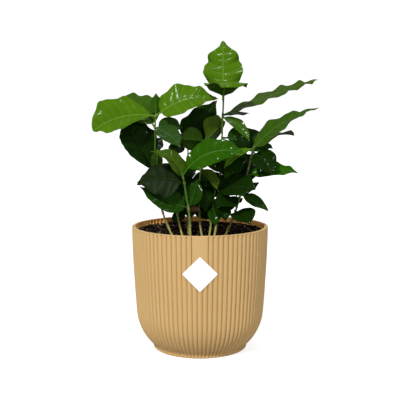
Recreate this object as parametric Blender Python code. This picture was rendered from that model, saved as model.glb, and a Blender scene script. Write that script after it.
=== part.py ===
"""A potted coffee plant: eight young seedlings in one ribbed pot of compost.

Lengths in this script are millimetres and angles are degrees; each mesh is
scaled to metres when its object is made. +Z is up, the origin is on the table
under the pot's axis, and the side that is seen first faces -Y.
"""

import math
from dataclasses import dataclass, replace

import bmesh
import bpy
from mathutils import Vector
from mathutils.bvhtree import BVHTree

MM = 0.001
GAP = 0.3
SHARP_ANGLE = 35.0
HALVINGS = 30

# Pot
POT_HEIGHT = 128.0
RIM_RADIUS = 70.8
WALL = 3.7
TAPER = 4.4
TAPER_SPAN = 90.0
TAPER_POWER = 1.6
SHOULDER_HEIGHT = POT_HEIGHT - TAPER_SPAN
SHOULDER_SLOPE = TAPER * TAPER_POWER / TAPER_SPAN
SHOULDER_DEPTH = 40.0
SHOULDER_REACH = 44.0
FOOT_RADIUS = 49.1
FOOT_EASE = 0.5
FOOT_HEIGHT = 2.8
FLOOR = 5.0
RIM_EASE = 0.6
RIB_COUNT = 84
RIB_DEPTH = 1.0
PANEL_RIBS = 3
PANEL_BOTTOM = 95.0
WALL_STATIONS = (127.0, 95.5, 94.0, 62.0, 38.0, 28.0, 20.0, 13.0, 8.5, 5.4)

# Compost
SOIL_EDGE = 123.0
SOIL_CENTRE = 117.0
SOIL_SEGMENTS = 48
SOIL_SHARES = (0.8, 0.6, 0.4, 0.2)
SOIL_GAP = 0.45

# Blank label, a square turned on its corner
LABEL_SIDE = 24.6
LABEL_THICKNESS = 0.4
LABEL_CENTRE = 90.6
LABEL_CORNER = 0.8
LABEL_STEPS = 8
LABEL_ARC = 3

# Plant
STEM_SIDES = 8
STEM_STATION = 9.0
FLARE = 0.12
FLARE_HEIGHT = 3.0
TIP_SHARE = 0.7
BLADE_SPANS = 7
BLADE_THICKNESS = 0.011
STALK_WIDTH = 2.4
STALK_THICKNESS = 1.7
TIP_WIDTH = 1.0
LEAST_THICKNESS = 0.5
BLADE_START = 0.04
MIDRIB_STEPS = 60
LENS_POWER = 1.54
DRIP_START = 0.78
DRIP_SPAN = 0.17
DRIP_SHARE = 0.35
ROOM = 0.5
POT_ROOM = 1.5
NUDGES = (0, 4, 8, 12, 16, 20, 24)
NUDGE_WAYS = ((1, 0), (-1, 0), (0, 1), (0, -1), (1, 1), (-1, 1), (1, -1), (-1, -1))


@dataclass(frozen=True)
class Leaf:
    """One leaf: where its stalk leaves the stem, how it runs and how big its blade is.

    Azimuth 0 points right and 90 points away; rise is the slope at the stem and
    droop is what the slope has lost by the tip. A roll above 0 lowers the blade's
    right-hand edge, twist is what the roll gains by the tip, and fold lifts both
    halves from the midrib. Peak is where along the blade it is widest. A far leaf
    takes the room that the others leave.
    """

    height: float
    azimuth: float
    rise: float
    droop: float
    length: float
    width: float
    roll: float = 0.0
    twist: float = 0.0
    fold: float = 12.0
    stalk: float = 6.0
    peak: float = 0.40
    far: bool = False


@dataclass(frozen=True)
class Tuft:
    """A stretch of stem above a cut height, with the leaves that grow on it."""

    name: str
    start: float
    leaves: tuple[Leaf, ...]


@dataclass(frozen=True)
class Seedling:
    """One stem as a quadratic curve from its foot in the compost to its tip."""

    name: str
    foot: tuple[float, float]
    bend: tuple[float, float, float]
    tip: tuple[float, float, float]
    girth: float
    tufts: tuple[Tuft, ...]

    def root(self):
        """The foot's centre, just clear of the dished compost."""
        radius = math.hypot(*self.foot) + self.girth
        return Vector((*self.foot, soil_height(radius) + GAP))

    def point(self, t):
        """The place on the stem at t, from 0 at the foot to 1 at the tip."""
        bend, tip = Vector(self.bend), Vector(self.tip)
        return (1 - t) ** 2 * self.root() + 2 * t * (1 - t) * bend + t * t * tip

    def heading(self, t):
        """The stem's direction at t, as a unit vector."""
        root, bend, tip = self.root(), Vector(self.bend), Vector(self.tip)
        return (2 * (1 - t) * (bend - root) + 2 * t * (tip - bend)).normalized()

    def share(self, height):
        """The t at which the stem passes a height."""
        low, high = 0.0, 1.0
        for _ in range(HALVINGS):
            middle = (low + high) / 2
            if self.point(middle).z < height:
                low = middle
            else:
                high = middle
        return high

    def radius(self, t):
        """The stem's radius at t: a taper, with a flare at the foot."""
        rise = self.point(t).z - self.root().z
        flare = FLARE * math.exp(-rise / FLARE_HEIGHT)
        return self.girth / 2 * (1 - (1 - TIP_SHARE) * t + flare)


SEEDLINGS = (
    Seedling("left", (-29, -8), (-51, -6, 160), (-45, -5, 243), 2.2, (
        Tuft("lower", 168, (
            Leaf(180, 168, 66, 18, 60, 40, roll=-46, fold=20, peak=0.6),
            Leaf(180, -75, 84, -8, 26, 13, stalk=4),
            Leaf(200, 110, 42, 50, 48, 28, far=True),
        )),
        Tuft("upper", 216, (
            Leaf(241, 184, 12, 51, 63, 42, roll=-50, fold=24, stalk=5, peak=0.58),
            Leaf(241, -6, 42, 54, 62, 38, roll=52, stalk=7, peak=0.3),
            Leaf(242, -100, 88, 0, 21, 13, fold=45, stalk=2),
            Leaf(229, 142, 50, 40, 58, 37, roll=-30),
            Leaf(229, -45, -5, 44, 38, 22, roll=30, stalk=4),
            Leaf(229, 12, 20, 40, 26, 20, roll=50, stalk=4),
        )),
    )),
    Seedling("near_left", (-18, -12), (-28, -8, 150), (-22, 10, 181), 2.0, (
        Tuft("crown", 146, (
            Leaf(175, 170, 5, 20, 39, 29, roll=-35),
            Leaf(176, 85, 15, 50, 56, 34, far=True),
            Leaf(158, 80, 10, 80, 44, 30, far=True),
        )),
    )),
    Seedling("front", (-10, -18), (-10, -20, 150), (-18, -30, 184), 2.5, (
        Tuft("lower", 142, (
            Leaf(149, 180, 14, -20, 50, 27, roll=-56, fold=20, stalk=4, peak=0.34),
            Leaf(148, 20, 72, -8, 28, 20, roll=50, stalk=4),
            Leaf(146, -25, 30, 60, 12, 7, roll=50, stalk=2),
        )),
        Tuft("upper", 168, (
            Leaf(182, -8, 60, 80, 62, 28, roll=62, stalk=10, peak=0.38),
            Leaf(180, 188, 78, 78, 42, 23, roll=-45, fold=16, stalk=3, peak=0.26),
            Leaf(174, 172, 24, 52, 46, 38, roll=122, fold=6, stalk=4, peak=0.34),
        )),
    )),
    Seedling("slender", (-12.5, -2), (-13, 5, 160), (-13, 18, 214), 1.9, (
        Tuft("lower", 132, (
            Leaf(140, 190, -10, 40, 16, 15, roll=-40, stalk=3),
            Leaf(148, -65, -5, 60, 18, 16, stalk=3),
            Leaf(146, 4, 4, 24, 38, 24, roll=84, stalk=4),
            Leaf(172, 10, 0, 24, 46, 30, roll=80, stalk=4),
            Leaf(164, 85, 10, 90, 46, 32, far=True),
        )),
        Tuft("upper", 198, (
            Leaf(209, 190, 5, 40, 19, 22, roll=-40, stalk=3),
            Leaf(212, 12, 58, 6, 53, 37, roll=60, stalk=3, peak=0.3),
            Leaf(212, 75, 25, 60, 62, 36, far=True),
        )),
    )),
    Seedling("middle", (2, -8), (-6, -2, 165), (6, -4, 218), 2.0, (
        Tuft("lower", 154, (
            Leaf(188, -50, -14, 50, 30, 17, stalk=4),
            Leaf(186, 178, 10, 50, 20, 20, roll=-40, stalk=4),
            Leaf(174, -65, -25, 60, 28, 20),
            Leaf(160, -110, -20, 70, 22, 18, stalk=4),
            Leaf(172, 165, 0, 40, 26, 22, roll=-60, stalk=4),
        )),
        Tuft("upper", 200, (
            Leaf(216, 185, 8, 10, 25, 26, roll=70, stalk=3),
            Leaf(216, 25, 46, 20, 30, 38, roll=-65, stalk=3),
            Leaf(205, -8, -32, 30, 29, 20, roll=60, stalk=3),
            Leaf(209, 80, 12, 42, 62, 36, far=True),
        )),
    )),
    Seedling("short", (9.5, -10), (12, -10, 140), (16, -6, 172), 2.0, (
        Tuft("crown", 142, (
            Leaf(148, -82, -5, 85, 20, 14),
            Leaf(154, -60, 0, 75, 26, 20),
            Leaf(168, -33, 12, 22, 44, 30, roll=45, stalk=4, peak=0.5),
        )),
    )),
    Seedling("tall", (15, -5), (22, 0, 160), (24, 6, 262), 2.4, (
        Tuft("lower", 168, (
            Leaf(200, 75, 5, 80, 60, 36, far=True),
            Leaf(184, 145, 10, 70, 44, 30, far=True),
            Leaf(189, -40, -25, 25, 34, 12, roll=35, stalk=2),
            Leaf(180, -95, -35, 45, 20, 15, stalk=3),
        )),
        Tuft("middle", 216, (
            Leaf(242, -4, 25, 9, 96, 29, roll=20, fold=2, stalk=8),
            Leaf(240, -42, -8, 52, 42, 12, roll=38, stalk=2, peak=0.46),
            Leaf(219, 20, 0, 24, 54, 34, roll=50),
            Leaf(242, 20, 9, 10, 24, 15, roll=12, fold=4),
        )),
        Tuft("top", 250, (
            Leaf(261, 90, 75, -5, 56, 40, roll=-10, fold=-4, stalk=4, peak=0.43),
            Leaf(258, -86, 66, 106, 51, 43, fold=-10, stalk=4, peak=0.6),
        )),
    )),
    Seedling("right", (26, -8), (42, -9, 152), (54.5, -10, 209.5), 2.2, (
        Tuft("lower", 129, (
            Leaf(144, -55, 0, 50, 24, 26, roll=20, stalk=3),
            Leaf(153, 208, 24, 60, 27, 24, roll=-30),
            Leaf(161, -14, -20, 20, 30, 17, roll=30, stalk=3),
            Leaf(160, 188, -15, 30, 20, 16, roll=-30, stalk=3),
            Leaf(148, 115, 15, 60, 40, 26, far=True),
        )),
        Tuft("middle", 164, (
            Leaf(180, -5, 24, 40, 48, 21, roll=40),
            Leaf(170, 100, 10, 60, 46, 30, far=True),
        )),
        Tuft("upper", 190, (
            Leaf(208, -5, 52, 40, 76, 27, roll=42, twist=-28, fold=4, stalk=4, peak=0.34),
            Leaf(208, 206, 0, 60, 36, 13, roll=-25, stalk=4),
            Leaf(206, -60, 10, 10, 9, 6, stalk=3),
            Leaf(205, -40, -20, 45, 30, 28, roll=30, stalk=4),
            Leaf(198.5, 172, 6, 36, 31, 36, roll=-70, stalk=4),
            Leaf(194, 90, -12, 55, 38, 26, stalk=4),
            Leaf(203, 105, -15, 50, 34, 26, stalk=3),
            Leaf(206, 60, 20, 55, 60, 34, far=True),
        )),
    )),
)


def clear_scene():
    """Remove the objects of the opening scene."""
    for thing in list(bpy.data.objects):
        bpy.data.objects.remove(thing, do_unlink=True)


def new_material(name, colour, roughness):
    """A Principled material of one linear colour and roughness."""
    material = bpy.data.materials.new(name)
    material.use_nodes = True
    shader = material.node_tree.nodes["Principled BSDF"]
    shader.inputs["Base Color"].default_value = (*colour, 1.0)
    shader.inputs["Roughness"].default_value = roughness
    return material


def mesh_object(name, points, faces, collection=None):
    """An object from points in millimetres and faces, with its faces turned out."""
    mesh = bpy.data.meshes.new(name)
    mesh.from_pydata([Vector(p) * MM for p in points], [], faces)
    work = bmesh.new()
    work.from_mesh(mesh)
    bmesh.ops.recalc_face_normals(work, faces=work.faces)
    work.to_mesh(mesh)
    work.free()
    thing = bpy.data.objects.new(name, mesh)
    (collection or bpy.context.scene.collection).objects.link(thing)
    return thing


def ring_faces(rings, sides):
    """Faces that join equal rings in order and cap the first and the last."""
    faces = []
    for i in range(rings - 1):
        for j in range(sides):
            k = (j + 1) % sides
            low, high = i * sides, (i + 1) * sides
            faces.append((low + j, low + k, high + k, high + j))
    last = (rings - 1) * sides
    faces.append(tuple(reversed(range(sides))))
    faces.append(tuple(range(last, last + sides)))
    return faces


def finish(thing, material):
    """Give an object its material and smooth shading with sharp corners kept."""
    thing.data.materials.append(material)
    thing.data.shade_smooth()
    thing.data.set_sharp_from_angle(angle=math.radians(SHARP_ANGLE))
    return thing


def soil_height(radius):
    """Height of the dished compost at a distance from the pot's axis."""
    share = radius / inner_radius(SOIL_EDGE)
    return SOIL_CENTRE + (SOIL_EDGE - SOIL_CENTRE) * share**2


def wall_radius(height):
    """Radius over the ribs' crests: a gently tapered wall on a rounded shoulder."""
    if height >= SHOULDER_HEIGHT:
        return RIM_RADIUS - TAPER * ((POT_HEIGHT - height) / TAPER_SPAN) ** TAPER_POWER
    below = SHOULDER_HEIGHT - height
    curl = SHOULDER_DEPTH * (1 - math.sqrt(1 - (below / SHOULDER_REACH) ** 2))
    return RIM_RADIUS - TAPER - SHOULDER_SLOPE * below - curl


def inner_radius(height):
    """Radius of the hollow, one wall inside the ribs."""
    return wall_radius(max(height, FLOOR)) - WALL


def pot_ring(radius, height, depth, sides=2 * RIB_COUNT):
    """A ring with ribs: crests at even places and valleys at odd ones.

    The ring starts at the front, so the panel's places lie on both sides of 0.
    """
    points = []
    for j in range(sides):
        from_front = min(j, sides - j)
        in_panel = from_front < PANEL_RIBS and height > PANEL_BOTTOM
        rib = 0.0 if in_panel or j % 2 == 0 else depth
        angle = math.radians(-90 + 360 * j / sides)
        reach = radius - rib
        points.append((reach * math.cos(angle), reach * math.sin(angle), height))
    return points


def build_pot():
    """The ribbed pot: foot, shoulder, wall, rim and hollow as one turned shell."""
    rings = [
        pot_ring(FOOT_RADIUS - FOOT_EASE, 0.0, RIB_DEPTH / 2),
        pot_ring(FOOT_RADIUS, FOOT_EASE, RIB_DEPTH / 2),
        pot_ring(FOOT_RADIUS, FOOT_HEIGHT, RIB_DEPTH),
    ]
    for height in reversed(WALL_STATIONS):
        rings.append(pot_ring(wall_radius(height), height, RIB_DEPTH))
    rings.append(pot_ring(RIM_RADIUS - RIM_EASE, POT_HEIGHT, RIB_DEPTH / 4))
    rings.append(pot_ring(RIM_RADIUS - WALL, POT_HEIGHT, 0.0))
    for height in (SHOULDER_HEIGHT, (SHOULDER_HEIGHT + FLOOR) / 2, FLOOR):
        rings.append(pot_ring(inner_radius(height), height, 0.0))
    points = [p for ring in rings for p in ring]
    return mesh_object("pot", points, ring_faces(len(rings), 2 * RIB_COUNT))


def build_soil():
    """The compost: it fills the hollow and dishes a little towards the middle."""
    rings = []
    levels = (FLOOR + GAP, (SHOULDER_HEIGHT + FLOOR) / 2, SHOULDER_HEIGHT, SOIL_EDGE)
    for height in levels:
        rings.append((inner_radius(height) - SOIL_GAP, height))
    edge = rings[-1][0]
    for share in SOIL_SHARES:
        rings.append((edge * share, soil_height(edge * share)))
    points = []
    for radius, height in rings:
        for j in range(SOIL_SEGMENTS):
            angle = 2 * math.pi * j / SOIL_SEGMENTS
            points.append((radius * math.cos(angle), radius * math.sin(angle), height))
    return mesh_object("soil", points, ring_faces(len(rings), SOIL_SEGMENTS))


def label_outline():
    """Corners of the turned square, each one rounded, as places across and up."""
    half = LABEL_SIDE / 2 - LABEL_CORNER
    points = []
    for corner in range(4):
        middle = math.radians(45 + 90 * corner)
        reach = half * math.sqrt(2)
        for step in range(LABEL_ARC):
            angle = middle + math.radians(90 * step / (LABEL_ARC - 1) - 45)
            x = reach * math.cos(middle) + LABEL_CORNER * math.cos(angle)
            y = reach * math.sin(middle) + LABEL_CORNER * math.sin(angle)
            points.append((x, y))
    turn = math.radians(45)
    return [(x * math.cos(turn) - y * math.sin(turn), x * math.sin(turn) + y * math.cos(turn))
            for x, y in points]


def build_label():
    """The blank label: a thin square plate, turned on its corner and bent round the wall."""
    outline = label_outline()
    work = bmesh.new()
    corners = [work.verts.new((x, 0.0, y)) for x, y in outline]
    work.faces.new(corners)
    reach = LABEL_SIDE / math.sqrt(2)
    for step in range(1, LABEL_STEPS):
        place = -reach + 2 * reach * step / LABEL_STEPS
        geometry = list(work.verts) + list(work.edges) + list(work.faces)
        bmesh.ops.bisect_plane(work, geom=geometry, plane_co=(place, 0, 0), plane_no=(1, 0, 0))
    work.verts.index_update()
    faces = [[v.index for v in face.verts] for face in work.faces]
    flat = [v.co.copy() for v in work.verts]
    work.free()
    low, high = LABEL_CENTRE - reach, LABEL_CENTRE + reach
    slope = (wall_radius(high) - wall_radius(low)) / (high - low)
    bulge = wall_radius(LABEL_CENTRE) - wall_radius(low) - slope * reach
    points = []
    for lift in (GAP, GAP + LABEL_THICKNESS):
        for place in flat:
            radius = wall_radius(low) + slope * (place.z + reach) + bulge + lift
            angle = math.radians(-90) + place.x / wall_radius(LABEL_CENTRE)
            height = LABEL_CENTRE + place.z
            points.append((radius * math.cos(angle), radius * math.sin(angle), height))
    count = len(flat)
    shell = [tuple(face) for face in faces]
    shell += [tuple(i + count for i in reversed(face)) for face in faces]
    shell += [(a, b, b + count, a + count) for a, b in border_edges(faces)]
    return mesh_object("label", points, shell)


def border_edges(faces):
    """Directed edges that only one face uses."""
    directed = {(face[i], face[(i + 1) % len(face)]) for face in faces for i in range(len(face))}
    return [(b, a) for a, b in directed if (b, a) not in directed]


def stem_solid(seedling, start, end, spread=0.0):
    """Points and faces of a stretch of stem between two shares, wider by a spread."""
    length = (seedling.point(end) - seedling.point(start)).length
    spans = max(2, round(length / STEM_STATION))
    points = []
    for i in range(spans + 1):
        t = start + (end - start) * i / spans
        heading = seedling.heading(t)
        across = heading.cross(Vector((0, 1, 0))).normalized()
        along = heading.cross(across)
        if t == 0.0:
            across, along = Vector((-1, 0, 0)), Vector((0, -1, 0))
        for j in range(STEM_SIDES):
            angle = 2 * math.pi * j / STEM_SIDES
            outward = math.cos(angle) * across + math.sin(angle) * along
            points.append(seedling.point(t) + (seedling.radius(t) + spread) * outward)
    return points, ring_faces(spans + 1, STEM_SIDES)


def blade_width(leaf, s):
    """Half of the blade's width at s, from 0 at the stalk to 1 at the drawn-out tip."""
    a, b = LENS_POWER * leaf.peak, LENS_POWER * (1 - leaf.peak)
    full = s**a * (1 - s) ** b / (leaf.peak**a * (1 - leaf.peak) ** b)
    drip = min(max((s - DRIP_START) / DRIP_SPAN, 0.0), 1.0)
    full *= 1 - DRIP_SHARE * drip * drip * (3 - 2 * drip)
    return max(full * leaf.width / 2, TIP_WIDTH / 2)


def leaf_frames(leaf, base, steps=MIDRIB_STEPS):
    """Places along the midrib from the stem to the tip, each with its three directions."""
    total = leaf.stalk + leaf.length
    azimuth = math.radians(leaf.azimuth)
    flat = Vector((math.cos(azimuth), math.sin(azimuth), 0))
    aside = Vector((math.sin(azimuth), -math.cos(azimuth), 0))
    frames = []
    place = base.copy()
    for i in range(steps + 1):
        slope = math.radians(leaf.rise - leaf.droop * i / steps)
        roll = math.radians(leaf.roll + leaf.twist * i / steps)
        forward = flat * math.cos(slope) + Vector((0, 0, math.sin(slope)))
        upward = aside.cross(forward)
        side = aside * math.cos(roll) - upward * math.sin(roll)
        normal = upward * math.cos(roll) + aside * math.sin(roll)
        frames.append((place.copy(), side, normal))
        place += forward * total / steps
    return frames


def leaf_stations(leaf, blade_only):
    """Places along the leaf for its cross-sections, as millimetres from the stem."""
    blade = [leaf.stalk + leaf.length * (i / BLADE_SPANS) for i in range(1, BLADE_SPANS)]
    start = [leaf.stalk + BLADE_START * leaf.length]
    ends = [leaf.stalk + leaf.length]
    return ([] if blade_only else [0.0]) + start + blade + ends


def leaf_solid(leaf, base, spread=0.0, blade_only=False):
    """Points and faces of a leaf as a closed six-sided strip from its stalk to its tip."""
    frames = leaf_frames(leaf, base)
    total = leaf.stalk + leaf.length
    lift = math.tan(math.radians(leaf.fold))
    points = []
    stations = leaf_stations(leaf, blade_only)
    for station in stations:
        place, side, normal = frames[round(station / total * (len(frames) - 1))]
        s = (station - leaf.stalk) / leaf.length
        in_stalk = s < 2 * BLADE_START
        half = STALK_WIDTH / 2 if in_stalk else blade_width(leaf, min(s, 1.0))
        thick = max(BLADE_THICKNESS * leaf.length, LEAST_THICKNESS)
        thick = STALK_THICKNESS if in_stalk else thick
        rise = normal * (0.0 if in_stalk else half * lift)
        up = normal * (thick / 2 + spread)
        edge = side * (half + spread)
        left, right = place - edge + rise, place + edge + rise
        points += [left + up, place + up, right + up, right - up, place - up, left - up]
    return points, ring_faces(len(stations), 6)


def tree_of(solid):
    """A search tree over a solid's faces."""
    points, faces = solid
    return BVHTree.FromPolygons([Vector(p) for p in points], faces)


class Thicket:
    """Everything that has grown so far, so that a new leaf can keep clear of it."""

    def __init__(self):
        self.grown = []

    def add_stem(self, owner, solid):
        """Remember a stretch of stem, which its own tuft's leaves may meet."""
        self.grown.append((owner, tree_of(solid), None))

    def add_leaf(self, owner, leaf, base):
        """Remember a leaf, whole and without its stalk."""
        whole = tree_of(leaf_solid(leaf, base, ROOM))
        blade = tree_of(leaf_solid(leaf, base, ROOM, blade_only=True))
        self.grown.append((owner, whole, blade))

    def has_room(self, owner, leaf, base):
        """Whether a leaf keeps clear of the pot, the stems and the other leaves."""
        solid = leaf_solid(leaf, base, ROOM, blade_only=True)
        if not all(above_pot(p) for p in solid[0]):
            return False
        blade = tree_of(solid)
        whole = tree_of(leaf_solid(leaf, base, ROOM))
        for other, other_whole, other_blade in self.grown:
            if other != owner and whole.overlap(other_whole):
                return False
            if other == owner and other_blade and blade.overlap(other_blade):
                return False
        return True

    def settle(self, owner, leaf, base):
        """The leaf as it fits: as drawn, or turned a little; None if nothing is clear."""
        for nudge in NUDGES:
            for turn, tilt in NUDGE_WAYS:
                azimuth, rise = leaf.azimuth + turn * nudge, leaf.rise + tilt * nudge
                moved = replace(leaf, azimuth=azimuth, rise=rise)
                if self.has_room(owner, moved, base):
                    self.add_leaf(owner, moved, base)
                    return moved
        return None


def above_pot(point):
    """Whether a point clears the compost and, further out, the rim."""
    radius = math.hypot(point[0], point[1])
    if radius > RIM_RADIUS + POT_ROOM:
        return True
    over_soil = radius < inner_radius(SOIL_EDGE) - POT_ROOM
    floor = soil_height(radius) if over_soil else POT_HEIGHT
    return point[2] > floor + POT_ROOM


def tuft_shares(seedling):
    """For each stretch of stem, its name and the shares where it starts and ends."""
    cuts = [0.0] + [seedling.share(tuft.start) for tuft in seedling.tufts] + [1.0]
    height = seedling.tip[2] - soil_height(0)
    trim = GAP / height
    names = ["stem"] + [tuft.name for tuft in seedling.tufts]
    stretches = []
    for i, name in enumerate(names):
        end = cuts[i + 1] - (trim if i + 1 < len(names) else 0.0)
        stretches.append((name, cuts[i], end))
    return stretches


def grow():
    """Settle every leaf of every seedling; the result lists the leaves of each tuft."""
    thicket = Thicket()
    for seedling in SEEDLINGS:
        for name, start, end in tuft_shares(seedling):
            thicket.add_stem((seedling.name, name), stem_solid(seedling, start, end, ROOM))
    tufts = [(seedling, tuft) for seedling in SEEDLINGS for tuft in seedling.tufts]
    settled = {(seedling.name, tuft.name): [] for seedling, tuft in tufts}
    places = [(seedling, tuft, leaf) for seedling, tuft in tufts for leaf in tuft.leaves]
    for seedling, tuft, leaf in sorted(places, key=lambda place: place[2].far):
        owner = (seedling.name, tuft.name)
        base = seedling.point(seedling.share(leaf.height))
        fitted = thicket.settle(owner, leaf, base)
        if fitted is None:
            print("no room for a leaf on", owner, leaf.height, leaf.azimuth)
        else:
            settled[owner].append((fitted, base))
    return settled


def keep_largest(mesh):
    """Drop the loose scraps and sealed hollows that a union can leave."""
    work = bmesh.new()
    work.from_mesh(mesh)
    unseen = set(work.verts)
    islands = []
    while unseen:
        island, front = set(), [unseen.pop()]
        while front:
            vert = front.pop()
            island.add(vert)
            near = {e.other_vert(vert) for e in vert.link_edges} & unseen
            unseen -= near
            front.extend(near)
        islands.append(island)
    islands.sort(key=len, reverse=True)
    for island in islands[1:]:
        bmesh.ops.delete(work, geom=list(island), context="VERTS")
    bmesh.ops.triangulate(work, faces=work.faces)
    work.to_mesh(mesh)
    work.free()


def union(name, solids):
    """One object from the first solid with all the others joined to it by one Boolean."""
    joined = bpy.data.collections.new(name + "_parts")
    bpy.context.scene.collection.children.link(joined)
    for i, solid in enumerate(solids[1:]):
        mesh_object(f"{name}_{i}", *solid, collection=joined)
    body = mesh_object(name, *solids[0])
    boolean = body.modifiers.new("join", "BOOLEAN")
    boolean.operation = "UNION"
    boolean.operand_type = "COLLECTION"
    boolean.collection = joined
    boolean.solver = "MANIFOLD"
    evaluated = body.evaluated_get(bpy.context.evaluated_depsgraph_get())
    mesh = bpy.data.meshes.new_from_object(evaluated)
    body.modifiers.clear()
    body.data = mesh
    mesh.name = name
    for part in list(joined.objects):
        bpy.data.objects.remove(part, do_unlink=True)
    bpy.data.collections.remove(joined)
    keep_largest(mesh)
    return body


def build_seedling(seedling, settled, bark, foliage):
    """The bare foot of a stem, then each tuft as stem and leaves in one body."""
    for name, start, end in tuft_shares(seedling):
        stem = stem_solid(seedling, start, end)
        if name == "stem":
            finish(mesh_object(f"stem_{seedling.name}", *stem), bark)
            continue
        leaves = [leaf_solid(leaf, base) for leaf, base in settled[(seedling.name, name)]]
        finish(union(f"foliage_{seedling.name}_{name}", [stem] + leaves), foliage)


def main():
    """Build the pot, the compost, the label and the eight seedlings."""
    clear_scene()
    plastic = new_material("sand_plastic", (0.60, 0.39, 0.18), 0.55)
    compost = new_material("compost", (0.02, 0.013, 0.01), 0.95)
    paper = new_material("white_paper", (0.9, 0.9, 0.9), 0.6)
    bark = new_material("green_bark", (0.42, 0.45, 0.16), 0.6)
    foliage = new_material("coffee_leaf", (0.04, 0.13, 0.02), 0.35)
    finish(build_pot(), plastic)
    finish(build_soil(), compost)
    finish(build_label(), paper)
    settled = grow()
    for seedling in SEEDLINGS:
        build_seedling(seedling, settled, bark, foliage)


if __name__ == "__main__":
    main()
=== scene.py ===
"""A potted coffee plant: eight young seedlings with glossy leaves in a ribbed pot.

Lengths in this script are millimetres and angles are degrees, and a mesh is
scaled to metres when its object is made. +Z is up, the origin is on the table
under the pot's axis, and the side that the camera sees faces -Y. The seedlings
grow here by the same rule as their solids, carried on to real leaf blades.
"""

import logging
import math
from dataclasses import dataclass, field, replace
from enum import Enum

import bmesh
import bpy
import numpy as np
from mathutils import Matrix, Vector
from mathutils.bvhtree import BVHTree


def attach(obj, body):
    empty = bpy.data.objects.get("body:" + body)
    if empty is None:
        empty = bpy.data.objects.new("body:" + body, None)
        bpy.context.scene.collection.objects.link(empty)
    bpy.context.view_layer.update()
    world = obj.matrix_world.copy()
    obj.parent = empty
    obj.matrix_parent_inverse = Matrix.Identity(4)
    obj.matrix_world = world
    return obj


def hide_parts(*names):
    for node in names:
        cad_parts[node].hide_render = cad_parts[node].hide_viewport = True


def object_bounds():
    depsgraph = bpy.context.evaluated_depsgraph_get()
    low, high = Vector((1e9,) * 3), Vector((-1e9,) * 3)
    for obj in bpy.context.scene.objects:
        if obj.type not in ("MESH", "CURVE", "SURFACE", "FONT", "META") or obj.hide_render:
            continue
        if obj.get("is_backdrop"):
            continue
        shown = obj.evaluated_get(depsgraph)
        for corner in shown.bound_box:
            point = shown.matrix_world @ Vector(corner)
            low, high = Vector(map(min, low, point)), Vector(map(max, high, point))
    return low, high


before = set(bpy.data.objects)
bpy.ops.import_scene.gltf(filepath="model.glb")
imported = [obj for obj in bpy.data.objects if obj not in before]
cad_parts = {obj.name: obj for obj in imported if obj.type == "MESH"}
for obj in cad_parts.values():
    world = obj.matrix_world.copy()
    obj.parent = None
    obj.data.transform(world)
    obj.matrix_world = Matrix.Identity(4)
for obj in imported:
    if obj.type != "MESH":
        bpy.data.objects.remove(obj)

LOG = logging.getLogger("coffee_plant")
MM = 0.001
BODY = "root"
# Edges sharper than this stay sharp under smooth shading.
SHARP_ANGLE = 48.0
# The open joint between two stretches of a stem, and under whatever rests on a solid.
GAP = 0.3
# How often the search for a height on a stem halves its range.
HALVINGS = 30
SEED = 41
WHITE = "FFFFFF"
# A Mix node has one result for each kind of data; the colour is the third.
MIXED_COLOUR = 2


def linear(hex_colour: str) -> tuple[float, float, float, float]:
    """Turn an sRGB hex colour into a linear one.

    Args:
        hex_colour: Six hex digits, such as "C8A878".

    Returns:
        Linear red, green and blue, and an alpha of 1.
    """
    shares = [int(hex_colour[i : i + 2], 16) / 255 for i in (0, 2, 4)]
    curve = [c / 12.92 if c <= 0.04045 else ((c + 0.055) / 1.055) ** 2.4 for c in shares]
    return (*curve, 1.0)


def per_metre(size: float) -> float:
    """The texture scale that gives a pattern of this size in millimetres."""
    return 1.0 / (size * MM)


def smooth(x: np.ndarray | float) -> np.ndarray | float:
    """Ease a share from 0 to 1, clipped at both ends."""
    x = np.clip(x, 0.0, 1.0)
    return x * x * (3 - 2 * x)


def circle(sides: int) -> np.ndarray:
    """Equal angles round a circle, in radians."""
    return 2 * math.pi * np.arange(sides) / sides


def ray(angle: float) -> np.ndarray:
    """The unit vector at an angle in radians, as across and up."""
    return np.array([math.cos(angle), math.sin(angle)])


def around(
    radius: np.ndarray | float, angle: np.ndarray, height: np.ndarray | float
) -> np.ndarray:
    """Places round the pot's axis, one a row."""
    heights = np.broadcast_to(height, angle.shape)
    return np.stack([radius * np.cos(angle), radius * np.sin(angle), heights], 1)


def add_node(
    tree: bpy.types.NodeTree,
    kind: str,
    settings: dict[str, object] | None = None,
    links: dict[str, bpy.types.NodeSocket] | None = None,
) -> bpy.types.Node:
    """Add a node with its settings and links.

    Args:
        tree: The node tree that gets the node.
        kind: The node's type, such as "ShaderNodeBump".
        settings: Values for its inputs, by name or identifier, and its own options.
        links: Output sockets, by the name or identifier of the input that each feeds.

    Returns:
        The new node.
    """
    node = tree.nodes.new(kind)
    sockets = {socket.name: socket for socket in reversed(node.inputs)}
    sockets |= {socket.identifier: socket for socket in node.inputs}
    for name, value in (settings or {}).items():
        if name in sockets:
            sockets[name].default_value = value
        else:
            setattr(node, name, value)
    for name, source in (links or {}).items():
        tree.links.new(source, sockets[name])
    return node


def start_material(name: str) -> tuple[bpy.types.Material, bpy.types.Node, bpy.types.Node]:
    """Start a material that reads its pattern from the object's own coordinates.

    Args:
        name: The material's name.

    Returns:
        The material, its Principled shader and its texture coordinates.
    """
    material = bpy.data.materials.new(name)
    material.use_nodes = True
    shader = material.node_tree.nodes["Principled BSDF"]
    return material, shader, add_node(material.node_tree, "ShaderNodeTexCoord")


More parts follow.
